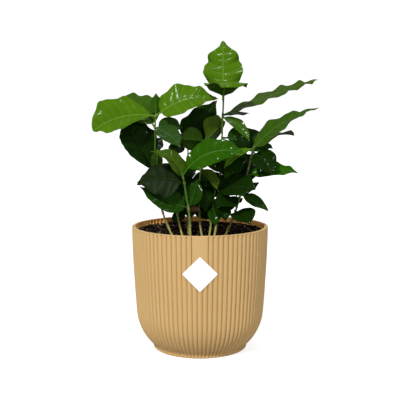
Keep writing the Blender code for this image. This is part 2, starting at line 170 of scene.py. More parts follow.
@dataclass(frozen=True)
class MouldedPolypropylene:
    """Injection-moulded polypropylene, through-coloured sand.

    Gives the eye an even matt sand with a broad soft sheen on each rib and a
    grain so fine that it only takes the edge off the highlights.
    """

    sand: str = "CBAA75"
    warm: str = "C5A26B"
    ior: float = 1.49
    specular: float = 0.12
    smoothest: float = 0.45
    roughest: float = 0.56
    cloud_size: float = 22.0
    grain_size: float = 0.7
    grain_height: float = 0.05
    grain_strength: float = 0.18

    def material(self, name: str) -> bpy.types.Material:
        """Make the plastic.

        Args:
            name: The material's name.

        Returns:
            The material.
        """
        material, shader, place = start_material(name)
        tree = material.node_tree
        where = place.outputs["Object"]
        cloud = add_node(tree, "ShaderNodeTexNoise",
                         {"Scale": per_metre(self.cloud_size), "Detail": 3.0}, {"Vector": where})
        mix = {"data_type": "RGBA", "A_Color": linear(self.sand), "B_Color": linear(self.warm)}
        colour = add_node(tree, "ShaderNodeMix", mix, {"Factor_Float": cloud.outputs["Fac"]})
        # The real grit is under 0.1 mm; it is drawn several times as coarse so that it shows.
        grain = add_node(tree, "ShaderNodeTexNoise",
                         {"Scale": per_metre(self.grain_size), "Detail": 2.0}, {"Vector": where})
        bump = add_node(tree, "ShaderNodeBump",
                        {"Strength": self.grain_strength, "Distance": self.grain_height * MM},
                        {"Height": grain.outputs["Fac"]})
        sheen = add_node(tree, "ShaderNodeMapRange",
                         {"To Min": self.smoothest, "To Max": self.roughest},
                         {"Value": grain.outputs["Fac"]})
        tree.links.new(colour.outputs[MIXED_COLOUR], shader.inputs["Base Color"])
        tree.links.new(sheen.outputs["Result"], shader.inputs["Roughness"])
        tree.links.new(bump.outputs["Normal"], shader.inputs["Normal"])
        shader.inputs["IOR"].default_value = self.ior
        shader.inputs["Specular IOR Level"].default_value = self.specular
        return material


@dataclass(frozen=True)
class MilledCompost:
    """Peat and bark, milled and moist.

    Gives the eye a near-black brown with rough crumbs, no sheen, and single
    lighter crumbs where the bark has dried.
    """

    dark: str
    light: str
    roughness: float = 0.9
    specular: float = 0.05
    crumb_size: float = 1.3
    grit_height: float = 0.5
    grit_strength: float = 0.8

    def material(self, name: str) -> bpy.types.Material:
        """Make the compost.

        Args:
            name: The material's name.

        Returns:
            The material.
        """
        material, shader, place = start_material(name)
        tree = material.node_tree
        where = place.outputs["Object"]
        crumbs = add_node(tree, "ShaderNodeTexVoronoi", {"Scale": per_metre(self.crumb_size)},
                          {"Vector": where})
        mix = {"data_type": "RGBA", "A_Color": linear(self.dark), "B_Color": linear(self.light)}
        colour = add_node(tree, "ShaderNodeMix", mix, {"Factor_Float": crumbs.outputs["Distance"]})
        grit = add_node(tree, "ShaderNodeTexNoise",
                        {"Scale": per_metre(self.crumb_size / 3), "Detail": 4.0},
                        {"Vector": where})
        bump = add_node(tree, "ShaderNodeBump",
                        {"Strength": self.grit_strength, "Distance": self.grit_height * MM},
                        {"Height": grit.outputs["Fac"]})
        tree.links.new(colour.outputs[MIXED_COLOUR], shader.inputs["Base Color"])
        tree.links.new(bump.outputs["Normal"], shader.inputs["Normal"])
        shader.inputs["Roughness"].default_value = self.roughness
        shader.inputs["Specular IOR Level"].default_value = self.specular
        return material


@dataclass(frozen=True)
class CoatedPaper:
    """White coated paper, die-cut.

    Gives the eye a clean bright white with a satin sheen and faint fibres.
    """

    white: str = WHITE
    shade: str = "F8F8F5"
    roughness: float = 0.42
    fibre_size: float = 0.6
    fibre_height: float = 0.02
    fibre_strength: float = 0.1

    def material(self, name: str) -> bpy.types.Material:
        """Make the paper.

        Args:
            name: The material's name.

        Returns:
            The material.
        """
        material, shader, place = start_material(name)
        tree = material.node_tree
        fibre = add_node(tree, "ShaderNodeTexNoise",
                         {"Scale": per_metre(self.fibre_size), "Detail": 4.0, "Distortion": 1.5},
                         {"Vector": place.outputs["Object"]})
        mix = {"data_type": "RGBA", "A_Color": linear(self.white), "B_Color": linear(self.shade)}
        colour = add_node(tree, "ShaderNodeMix", mix, {"Factor_Float": fibre.outputs["Fac"]})
        bump = add_node(tree, "ShaderNodeBump",
                        {"Strength": self.fibre_strength, "Distance": self.fibre_height * MM},
                        {"Height": fibre.outputs["Fac"]})
        tree.links.new(colour.outputs[MIXED_COLOUR], shader.inputs["Base Color"])
        tree.links.new(bump.outputs["Normal"], shader.inputs["Normal"])
        shader.inputs["Roughness"].default_value = self.roughness
        return material


@dataclass(frozen=True)
class YoungBark:
    """The skin of a young coffee stem, part green and part corky.

    Gives the eye a pale straw near the compost and green higher up, with fine
    streaks that run along the stem and a dull wax over them.
    """

    main: str
    streak: str
    roughness: float = 0.48
    streak_size: float = 0.5
    streak_height: float = 0.15
    streak_strength: float = 0.5
    stretch: float = 9.0

    def material(self, name: str) -> bpy.types.Material:
        """Make the bark.

        Args:
            name: The material's name.

        Returns:
            The material.
        """
        material, shader, place = start_material(name)
        tree = material.node_tree
        # Stretched along Z, since every stem stands nearly upright.
        drawn = add_node(tree, "ShaderNodeMapping", {"Scale": (1.0, 1.0, 1.0 / self.stretch)},
                         {"Vector": place.outputs["Object"]})
        streak = add_node(tree, "ShaderNodeTexNoise",
                          {"Scale": per_metre(self.streak_size), "Detail": 3.0},
                          {"Vector": drawn.outputs["Vector"]})
        sharp = add_node(tree, "ShaderNodeMapRange", {"From Min": 0.35, "From Max": 0.7},
                         {"Value": streak.outputs["Fac"]})
        mix = {"data_type": "RGBA", "A_Color": linear(self.main), "B_Color": linear(self.streak)}
        colour = add_node(tree, "ShaderNodeMix", mix, {"Factor_Float": sharp.outputs["Result"]})
        bump = add_node(tree, "ShaderNodeBump",
                        {"Strength": self.streak_strength, "Distance": self.streak_height * MM},
                        {"Height": streak.outputs["Fac"]})
        tree.links.new(colour.outputs[MIXED_COLOUR], shader.inputs["Base Color"])
        tree.links.new(bump.outputs["Normal"], shader.inputs["Normal"])
        shader.inputs["Roughness"].default_value = self.roughness
        return material


@dataclass(frozen=True)
class WaxyLeaf:
    """A living coffee leaf under its cuticle.

    Gives the eye a green that is mottled a little by its net of small veins, with
    small crisp highlights on the upper side and hardly any on the underside.
    """

    colour: str
    mottle: str
    roughness: float
    ior: float = 1.45
    specular: float = 0.1
    mottle_size: float = 9.0
    net_size: float = 1.6
    net_height: float = 0.12
    net_strength: float = 0.35

    def material(self, name: str) -> bpy.types.Material:
        """Make the leaf's skin.

        Args:
            name: The material's name.

        Returns:
            The material.
        """
        material, shader, place = start_material(name)
        tree = material.node_tree
        where = place.outputs["Object"]
        cloud = add_node(tree, "ShaderNodeTexNoise",
                         {"Scale": per_metre(self.mottle_size), "Detail": 5.0}, {"Vector": where})
        mix = {"data_type": "RGBA", "A_Color": linear(self.colour), "B_Color": linear(self.mottle)}
        colour = add_node(tree, "ShaderNodeMix", mix, {"Factor_Float": cloud.outputs["Fac"]})
        net = add_node(tree, "ShaderNodeTexVoronoi",
                       {"feature": "DISTANCE_TO_EDGE", "Scale": per_metre(self.net_size)},
                       {"Vector": where})
        bump = add_node(tree, "ShaderNodeBump",
                        {"Strength": self.net_strength, "Distance": self.net_height * MM},
                        {"Height": net.outputs["Distance"]})
        tree.links.new(colour.outputs[MIXED_COLOUR], shader.inputs["Base Color"])
        tree.links.new(bump.outputs["Normal"], shader.inputs["Normal"])
        shader.inputs["Roughness"].default_value = self.roughness
        shader.inputs["IOR"].default_value = self.ior
        shader.inputs["Specular IOR Level"].default_value = self.specular
        return material


Finish = MouldedPolypropylene | MilledCompost | CoatedPaper | YoungBark | WaxyLeaf


class Tone(Enum):
    """A leaf's age, and painted shade where far leaves take the darker tones: its upper side, its
    underside and its veins, as sRGB.
    """

    YOUNG = ("4C740E", "32500A", "5C8424")
    FRESH = ("285604", "34560A", "346410")
    SOFT = ("385A12", "364C0E", "466820")
    MATURE = ("1C3E07", "2A420A", "264A10")
    # Old leaves' dark green, partly painted shade: leaves at the back of the crown take it.
    DEEP = ("122A04", "17260A", "183008")
    # Painted sheen: a greyer, bluer green that stands in for the soft reflection on these leaves.
    GLAUCOUS = ("2C4C1A", "34481A", "3A5826")
    OLIVE = ("3C5810", "466014", "4C681C")
    DRY = ("2C1C10", "24180C", "382616")


@dataclass
class Palette:
    """Every finish of the plant, made once and shared by all its pieces."""

    made: dict[str, bpy.types.Material] = field(default_factory=dict)

    def leaf(self, tone: Tone) -> list[bpy.types.Material]:
        """The three skins of a tone.

        Args:
            tone: The leaf's tone.

        Returns:
            The upper side, the underside and the veins.
        """
        upper, under, vein = tone.value
        word = tone.name.lower()
        # A leaf that is still growing has less wax.
        wax = 0.04 if tone is Tone.YOUNG else 0.1
        glossy = WaxyLeaf(upper, self.darker(upper, 0.82), roughness=0.14, specular=wax)
        dull = WaxyLeaf(under, self.darker(under, 0.86), roughness=0.5, specular=0.08)
        rib = WaxyLeaf(vein, self.darker(vein, 0.9), roughness=0.38, specular=0.1, net_size=0.8)
        return [
            self.keep(f"waxy_leaf_{word}", glossy),
            self.keep(f"leaf_underside_{word}", dull),
            self.keep(f"leaf_vein_{word}", rib),
        ]

    def keep(self, name: str, finish: Finish) -> bpy.types.Material:
        """The material of this name, made the first time that it is asked for.

        Args:
            name: The material's name.
            finish: What it is made from.

        Returns:
            The material.
        """
        if name not in self.made:
            self.made[name] = finish.material(name)
        return self.made[name]

    @staticmethod
    def darker(hex_colour: str, share: float) -> str:
        """The same sRGB colour with each part cut to a share."""
        return "".join(f"{round(int(hex_colour[i : i + 2], 16) * share):02X}" for i in (0, 2, 4))


def grid_faces(rows: int, columns: int, wrap: bool = False) -> np.ndarray:
    """Quads over a grid of points kept row by row.

    Args:
        rows: How many rows of points.
        columns: How many points in a row.
        wrap: Whether each row closes on itself.

    Returns:
        Four corner numbers for each quad.
    """
    across = columns if wrap else columns - 1
    i, j = np.meshgrid(np.arange(rows - 1), np.arange(across), indexing="ij")
    k = (j + 1) % columns
    corners = (i * columns + j, i * columns + k, (i + 1) * columns + k, (i + 1) * columns + j)
    return np.stack([c.ravel() for c in corners], axis=1)


@dataclass
class Shell:
    """Points and faces gathered part by part, then made into one object."""

    points: list[np.ndarray] = field(default_factory=list)
    faces: list[list[int]] = field(default_factory=list)
    finish_of: list[int] = field(default_factory=list)
    count: int = 0

    def add(self, points: np.ndarray, faces: np.ndarray, finish: int | np.ndarray = 0) -> None:
        """Add a part.

        Args:
            points: Places in millimetres, one a row.
            faces: Corner numbers within this part.
            finish: The number of the material, for all faces or for each.
        """
        self.points.append(np.asarray(points, float).reshape(-1, 3))
        self.faces += (np.asarray(faces) + self.count).tolist()
        self.finish_of += np.broadcast_to(finish, len(faces)).astype(int).tolist()
        self.count += len(self.points[-1])

    def tube(self, rings: np.ndarray, finish: int | np.ndarray = 0) -> None:
        """Add a tube, closed at both ends by a fan of triangles.

        Args:
            rings: Rings of places, as rows by sides by three.
            finish: The number of the material, for the tube or for each side face. The
                ends take the last side face's.
        """
        rows, sides = rings.shape[:2]
        first = self.count
        hubs = [rings[0].mean(axis=0), rings[-1].mean(axis=0)]
        points = np.concatenate([rings.reshape(-1, 3), hubs])
        self.add(points, grid_faces(rows, sides, wrap=True), finish)
        j = np.arange(sides)
        k = (j + 1) % sides
        hub = np.full(sides, rows * sides)
        last = (rows - 1) * sides
        foot = np.stack([k, j, hub], 1)
        head = np.stack([last + j, last + k, hub + 1], 1)
        self.faces += (np.concatenate([foot, head]) + first).tolist()
        self.finish_of += [int(np.ravel(finish)[-1])] * (2 * sides)

    def build(self, name: str, materials: list[bpy.types.Material]) -> bpy.types.Object:
        """Make the object, with its faces turned out and smooth shading.

        Args:
            name: The piece's name.
            materials: Its materials, in the order that the parts number them.

        Returns:
            The object, linked to the scene.
        """
        mesh = bpy.data.meshes.new(name)
        mesh.from_pydata((np.concatenate(self.points) * MM).tolist(), [], self.faces)
        for material in materials:
            mesh.materials.append(material)
        mesh.polygons.foreach_set("material_index", self.finish_of)
        work = bmesh.new()
        work.from_mesh(mesh)
        bmesh.ops.recalc_face_normals(work, faces=work.faces)
        work.to_mesh(mesh)
        work.free()
        mesh.shade_smooth()
        mesh.set_sharp_from_angle(angle=math.radians(SHARP_ANGLE))
        thing = bpy.data.objects.new(name, mesh)
        bpy.context.scene.collection.objects.link(thing)
        return thing


def place_piece(piece: bpy.types.Object, nodes: list[str]) -> bpy.types.Object:
    """Let a piece ride on the body and take the place of its solids.

    Args:
        piece: The finished object.
        nodes: The solids that it stands for.

    Returns:
        The same object.
    """
    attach(piece, BODY)
    if nodes:
        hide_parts(*nodes)
    faces = len(piece.data.polygons)
    LOG.info("%s: %d faces, %d materials", piece.name, faces, len(piece.data.materials))
    return piece


@dataclass
class Pot:
    """The ribbed pot, turned about its axis."""

    height: float = 128.0
    rim_radius: float = 70.8
    wall: float = 3.7
    taper: float = 4.4
    taper_span: float = 90.0
    taper_power: float = 1.6
    shoulder_depth: float = 40.0
    shoulder_reach: float = 44.0
    foot_radius: float = 49.1
    floor: float = 5.0
    rib_count: int = 84
    rib_depth: float = 1.8
    rib_round: float = 0.96
    rib_steps: int = 12
    panel_ribs: int = 3
    panel_bottom: float = 95.0
    panel_fade: float = 2.5
    inner_share: float = 0.8
    lip: float = 1.3
    recess: float = 1.6
    soil_edge: float = 123.0
    soil_centre: float = 117.0

    @property
    def shoulder_height(self) -> float:
        """Where the wall turns in to the foot."""
        return self.height - self.taper_span

    def wall_radius(self, height: float) -> float:
        """Radius over the ribs' crests.

        Args:
            height: The height above the table.

        Returns:
            The gently tapered wall's radius, or the rounded shoulder's below it.
        """
        if height >= self.shoulder_height:
            share = (self.height - height) / self.taper_span
            return self.rim_radius - self.taper * share**self.taper_power
        below = self.shoulder_height - height
        slope = self.taper * self.taper_power / self.taper_span
        curl = self.shoulder_depth * (1 - math.sqrt(1 - (below / self.shoulder_reach) ** 2))
        return self.rim_radius - self.taper - slope * below - curl

    def inner_radius(self, height: float) -> float:
        """Radius of the hollow, one wall inside the ribs."""
        return self.wall_radius(max(height, self.floor)) - self.wall

    def soil_height(self, radius: float) -> float:
        """Height of the dished compost at a distance from the axis."""
        share = radius / self.inner_radius(self.soil_edge)
        return self.soil_centre + (self.soil_edge - self.soil_centre) * share**2

    def rib_profile(self) -> tuple[np.ndarray, np.ndarray, np.ndarray]:
        """The ribs' cross-section round the pot.

        Returns:
            The angle of each place, how far it lies under the crest as a share of the
            ribs' depth, and 1 where the place belongs to the plain panel at the front.
        """
        steps = self.rib_count * self.rib_steps
        turn = np.arange(steps) / self.rib_steps
        across = np.abs((turn + 0.5) % 1.0 - 0.5) * 2
        # A broad round crest and a narrow valley, as on a row of rods.
        dip = 1 - np.sqrt(1 - (self.rib_round * across) ** 2)
        dip = dip / dip.max()
        from_front = np.minimum(turn, self.rib_count - turn)
        panel = (from_front < self.panel_ribs / 2).astype(float)
        return np.radians(-90 + 360 * turn / self.rib_count), dip, panel

    def outer_stations(self) -> list[tuple[float, float, float]]:
        """Rings of the outside from the underside to the lip.

        Returns:
            For each ring its crest radius, its height and the share of the ribs' depth.
        """
        foot = self.foot_radius
        rings = [
            (foot - 6.0, self.recess, 0.0),
            (foot - 5.2, 0.3, 0.0),
            (foot - 4.8, 0.0, 0.0),
            (foot - 0.9, 0.0, 0.3),
            (foot - 0.25, 0.25, 0.6),
            (foot, 0.8, 0.75),
            (foot, 1.6, 0.8),
            (foot + 0.05, 2.4, 0.85),
            (foot + 0.25, 3.2, 0.9),
            (foot + 0.65, 4.0, 0.95),
            (foot + 1.2, 4.8, 1.0),
            (foot + 1.8, 5.5, 1.0),
        ]
        low = [6.3, 7.2, 8.2, 9.3, 10.6, 12.0, 14.0, 16.5, 19.5, 23.0, 27.0, 31.0, 35.0, 39.0]
        high = list(np.linspace(44.0, self.height - self.lip - 1.0, 22))
        heights = sorted(low + high + [self.panel_bottom - 1.5, self.panel_bottom + 1.0])
        rings += [(self.wall_radius(h), h, 1.0) for h in heights]
        top = self.height
        edge = self.rim_radius
        rings += [
            (self.wall_radius(top - self.lip), top - self.lip, 0.85),
            (edge, top - 0.8, 0.3),
            (edge - 0.12, top - 0.35, 0.0),
            (edge - 0.45, top - 0.06, 0.0),
            (edge - 0.8, top, 0.0),
        ]
        return rings

    def inner_stations(self) -> list[tuple[float, float, float]]:
        """Rings of the inside from the lip to the floor.

        Returns:
            For each ring its crest radius, its height and the share of the ribs' depth.
        """
        edge = self.rim_radius - self.wall
        top = self.height
        rings = [
            (edge + 0.8, top, 0.0),
            (edge + 0.35, top - 0.1, 0.0),
            (edge + 0.1, top - 0.45, 0.0),
            (edge, top - 1.2, -0.2),
        ]
        for height in (125.8, 124.5, 122.0, 112.0, 100.0, 80.0, 60.0, 38.0, 28.0, 20.0, 12.0, 7.0):
            rings.append((self.inner_radius(height), height, -self.inner_share))
        return rings + [(self.inner_radius(self.floor), self.floor, 0.0)]

    def ring(self, station: tuple[float, float, float]) -> np.ndarray:
        """The places of one ring.

        Args:
            station: The crest radius, the height and the share of the ribs' depth. A
                share below 0 pushes the crests outwards into the wall, as inside.

        Returns:
            One place a row.
        """
        radius, height, share = station
        angle, dip, panel = self.rib_profile()
        if share >= 0:
            bare = smooth((height - self.panel_bottom) / self.panel_fade + 0.5)
            reach = radius - self.rib_depth * share * dip * (1 - panel * bare)
        else:
            reach = radius - self.rib_depth * share * (1 - dip)
        return around(reach, angle, height)

    def build(self, palette: Palette) -> bpy.types.Object:
        """Build the pot and put it in its solid's place.

        Args:
            palette: The finishes.

        Returns:
            The pot.
        """
        outside = self.outer_stations()
        stations = outside + self.inner_stations()
        rings = np.stack([self.ring(station) for station in stations])
        inside = np.arange(len(stations) - 1) > len(outside) + 1
        shell = Shell()
        shell.tube(rings, np.repeat(inside, rings.shape[1]))
        # The inside wall takes a brighter, warmer sand: painted bounce light from the hollow, not
        # the plastic's own colour.
        finishes = [
            palette.keep("moulded_polypropylene", MouldedPolypropylene()),
            palette.keep("moulded_polypropylene_inside", MouldedPolypropylene("F6BE70", "ECAE5C")),
        ]
        return place_piece(shell.build("ribbed_pot", finishes), ["pot"])


class Crumb(Enum):
    """A crumb's material, its two colours and the share of the crumbs that take it."""

    PEAT = ("milled_compost", "0A0705", "1A130E", 0.54)
    BROWN = ("milled_compost_brown", "17110D", "241B15", 0.28)
    BARK = ("milled_compost_bark", "43352A", "5A4A3C", 0.13)
    FIBRE = ("milled_compost_fibre", "8A7862", "A6937B", 0.05)


@dataclass
class Compost:
    """The compost: a rough dished surface with loose crumbs and fibres on it."""

    pot: Pot
    clear: float = 0.45
    rings: int = 62
    steps: int = 260
    calm_edge: float = 0.04
    ripple_sizes: tuple[float, ...] = (19.0, 11.0, 6.5, 4.1, 2.9, 2.2)
    ripples: int = 5
    ripple_sum: float = 18.0
    relief_height: float = 0.9
    bed_sink: float = 0.4
    crumb_sink: float = 0.35
    crumbs: int = 5200
    crumb_sizes: tuple[float, float] = (0.35, 1.15)
    crumb_room: float = 2.0
    fibres: int = 300
    fibre_thickness: float = 0.22
    fibre_lengths: tuple[float, float] = (1.6, 3.6)

    def relief(self, x: np.ndarray, y: np.ndarray) -> np.ndarray:
        """The crumbs' relief as a sum of crossed ripples.

        Args:
            x: Places to the right.
            y: Places away.

        Returns:
            Heights between about -1 and 1.
        """
        rng = np.random.default_rng(SEED)
        total = np.zeros_like(x)
        for size in self.ripple_sizes:
            for _ in range(self.ripples):
                turn, phase = rng.uniform(0, 2 * math.pi, 2)
                along = x * math.cos(turn) + y * math.sin(turn)
                total += size**0.5 * np.sin(2 * math.pi * along / size + phase)
        return total / self.ripple_sum

    def bed(self, shell: Shell) -> None:
        """Add the closed body whose top is the rough surface.

        Args:
            shell: The shell that it goes into.
        """
        angle = circle(self.steps)
        edge = self.pot.inner_radius(self.pot.soil_edge) - self.clear
        rings = []
        for height in (self.pot.floor + GAP, 12.0, 22.0, 38.0, 80.0, self.pot.soil_edge - 2.0):
            rings.append(around(self.pot.inner_radius(height) - self.clear, angle, height))
        for share in np.linspace(1.0, 0.015, self.rings):
            x, y = edge * share * np.cos(angle), edge * share * np.sin(angle)
            calm = smooth((1 - share) / self.calm_edge)
            rough = self.relief_height * self.relief(x, y) * calm
            level = self.pot.soil_height(edge * share) - self.bed_sink + rough
            rings.append(np.stack([x, y, level], 1))
        shell.tube(np.stack(rings), 0)

    def loose(self, shell: Shell) -> None:
        """Add the crumbs and the fibres, each a small rough body.

        Args:
            shell: The shell that they go into.
        """
        rng = np.random.default_rng(SEED + 1)
        kinds = list(Crumb)
        chances = [kind.value[3] for kind in kinds]
        work = bmesh.new()
        bmesh.ops.create_icosphere(work, subdivisions=1, radius=1.0)
        ball = np.array([v.co[:] for v in work.verts])
        faces = np.array([[v.index for v in face.verts] for face in work.faces])
        work.free()
        edge = self.pot.inner_radius(self.pot.soil_edge) - self.crumb_room
        for i in range(self.crumbs + self.fibres):
            radius = edge * math.sqrt(rng.uniform())
            turn = rng.uniform(0, 2 * math.pi)
            x, y = radius * math.cos(turn), radius * math.sin(turn)
            is_fibre = i >= self.crumbs
            size = self.fibre_thickness if is_fibre else rng.uniform(*self.crumb_sizes)
            sides = np.array([size * rng.uniform(0.7, 1.5), size, size * rng.uniform(0.5, 0.9)])
            if is_fibre:
                sides[0] = rng.uniform(*self.fibre_lengths)
            body = ball * sides * rng.uniform(0.75, 1.2, ball.shape)
            spin, tilt = rng.uniform(0, 2 * math.pi), rng.uniform(-0.3, 0.3)
            cos, sin = math.cos(spin), math.sin(spin)
            turned = np.stack([body[:, 0] * cos - body[:, 1] * sin,
                               body[:, 0] * sin + body[:, 1] * cos,
                               body[:, 2] + body[:, 0] * tilt], 1)
            rise = self.relief_height * self.relief(np.array([x]), np.array([y]))[0]
            level = self.pot.soil_height(radius) - self.crumb_sink + rise + size * 0.2
            kind = kinds.index(Crumb.FIBRE) if is_fibre else int(rng.choice(len(kinds), p=chances))
            shell.add(turned + (x, y, level), faces, kind)

    def build(self, palette: Palette) -> bpy.types.Object:
        """Build the bed and its loose crumbs in the solid's place.

        Args:
            palette: The finishes.

        Returns:
            The compost's bed.
        """
        bed, loose = Shell(), Shell()
        self.bed(bed)
        self.loose(loose)
        tones = []
        for name, dark, light, _ in (kind.value for kind in Crumb):
            tones.append(palette.keep(name, MilledCompost(dark, light)))
        place_piece(loose.build("compost_crumbs", tones), [])
        return place_piece(bed.build("compost_bed", tones[:1]), ["soil"])


@dataclass
class Label:
    """The blank label: a white square on its corner, bent round the wall."""

    pot: Pot
    side: float = 24.6
    thickness: float = 0.3
    centre: float = 90.6
    corner: float = 0.8
    arc_steps: int = 8
    edge_steps: int = 14

    def outline(self) -> np.ndarray:
        """The rounded square's edge before it is bent.

        Returns:
            Places across and up from the label's middle, one a row.
        """
        reach = (self.side / 2 - self.corner) * math.sqrt(2)
        points = []
        for quarter in range(4):
            middle = math.radians(45 + 90 * quarter)
            hub = reach * ray(middle)
            for step in range(self.arc_steps + 1):
                angle = middle + math.radians(90 * step / self.arc_steps - 45)
                points.append(hub + self.corner * ray(angle))
            target = reach * ray(math.radians(45 + 90 * (quarter + 1)))
            push = self.corner * ray(math.radians(90 * (quarter + 1)))
            for step in range(1, self.edge_steps):
                points.append(hub + push + (target - hub) * step / self.edge_steps)
        turn = math.radians(45)
        flat = np.array(points)
        across = flat[:, 0] * math.cos(turn) - flat[:, 1] * math.sin(turn)
        return np.stack([across, flat[:, 0] * math.sin(turn) + flat[:, 1] * math.cos(turn)], 1)

    def bend(self, flat: np.ndarray, lift: float) -> np.ndarray:
        """Lay flat places on the wall.

        Args:
            flat: Places across and up from the label's middle.
            lift: How far they stand off the ribs.

        Returns:
            The places round the pot.
        """
        reach = self.side / math.sqrt(2)
        low, high = self.centre - reach, self.centre + reach
        foot, head = self.pot.wall_radius(low), self.pot.wall_radius(high)
        middle = self.pot.wall_radius(self.centre)
        bulge = middle - (foot + head) / 2
        radius = foot + (head - foot) * (flat[:, 1] + reach) / (2 * reach) + bulge + lift
        angle = math.radians(-90) + flat[:, 0] / middle
        return around(radius, angle, self.centre + flat[:, 1])

    def build(self, palette: Palette) -> bpy.types.Object:
        """Build the label in its solid's place.

        Args:
            palette: The finishes.

        Returns:
            The label.
        """
        edge = self.outline()
        rings = [self.bend(edge * share, GAP) for share in (0.02, 0.5, 0.9, 0.996)]
        rings.append(self.bend(edge, GAP + 0.3 * self.thickness))
        rings.append(self.bend(edge, GAP + 0.8 * self.thickness))
        for share in (0.996, 0.97, 0.85, 0.65, 0.45, 0.25, 0.02):
            rings.append(self.bend(edge * share, GAP + self.thickness))
        shell = Shell()
        shell.tube(np.stack(rings))
        paper = palette.keep("coated_paper", CoatedPaper())
        return place_piece(shell.build("blank_label", [paper]), ["label"])


@dataclass(frozen=True)
class Leaf:
    """One leaf: where its stalk leaves the stem, how it runs and how big its blade is.

    Azimuth 0 points right and 90 points away; rise is the slope at the stem and
    droop is what the slope has lost by the tip. A roll above 0 lowers the blade's
    right-hand edge, twist is what the roll gains by the tip, and fold lifts both
    halves from the midrib. Peak is where along the blade it is widest. A far leaf
    takes the room that the others leave. Wave and puff scale the waves of its
    margin and the cushions between its side veins.
    """

    height: float
    azimuth: float
    rise: float
    droop: float
    length: float
    width: float
    tone: Tone
    roll: float = 0.0
    twist: float = 0.0
    fold: float = 12.0
    stalk: float = 6.0
    peak: float = 0.40
    far: bool = False
    wave: float = 1.0
    puff: float = 1.0


@dataclass(frozen=True)
class Tuft:
    """A stretch of stem above a cut height, with the leaves that grow on it."""

    name: str
    start: float
    leaves: tuple[Leaf, ...]


@dataclass(frozen=True)
class Seedling:
    """One stem as a quadratic curve from its foot in the compost to its tip."""

    name: str
    foot: tuple[float, float]
    bend: tuple[float, float, float]
    tip: tuple[float, float, float]
    girth: float
    tufts: tuple[Tuft, ...]
    tip_share: float = 0.7
    flare: float = 0.12
    flare_height: float = 3.0

    def root(self, pot: Pot) -> Vector:
        """The foot's centre, just clear of the dished compost."""
        radius = math.hypot(*self.foot) + self.girth
        return Vector((*self.foot, pot.soil_height(radius) + GAP))

    def point(self, t: float, pot: Pot) -> Vector:
        """The place on the stem at t, from 0 at the foot to 1 at the tip."""
        bend, tip = Vector(self.bend), Vector(self.tip)
        return (1 - t) ** 2 * self.root(pot) + 2 * t * (1 - t) * bend + t * t * tip

    def heading(self, t: float, pot: Pot) -> Vector:
        """The stem's direction at t, as a unit vector."""
        root, bend, tip = self.root(pot), Vector(self.bend), Vector(self.tip)
        return (2 * (1 - t) * (bend - root) + 2 * t * (tip - bend)).normalized()

    def sides_at(self, t: float, pot: Pot) -> tuple[Vector, Vector]:
        """Two unit vectors square to the stem at t and to each other.

        Args:
            t: The share of the way from foot to tip.
            pot: The pot that it stands in.

        Returns:
            One to the left, square to the Y axis, and one towards the camera.
        """
        heading = self.heading(t, pot)
        across = heading.cross(Vector((0, 1, 0))).normalized()
        return across, heading.cross(across)

    def share(self, height: float, pot: Pot) -> float:
        """The t at which the stem passes a height.

        Args:
            height: The height above the table.
            pot: The pot that it stands in.

        Returns:
            The share of the way from foot to tip.
        """
        low, high = 0.0, 1.0
        for _ in range(HALVINGS):
            middle = (low + high) / 2
            if self.point(middle, pot).z < height:
                low = middle
            else:
                high = middle
        return high

    def radius(self, t: float, pot: Pot) -> float:
        """The stem's radius at t: a taper, with a flare at the foot.

        Args:
            t: The share of the way from foot to tip.
            pot: The pot that it stands in.

        Returns:
            The radius without the rings and furrows of its skin.
        """
        rise = self.point(t, pot).z - self.root(pot).z
        flare = self.flare * math.exp(-rise / self.flare_height)
        return self.girth / 2 * (1 - (1 - self.tip_share) * t + flare)


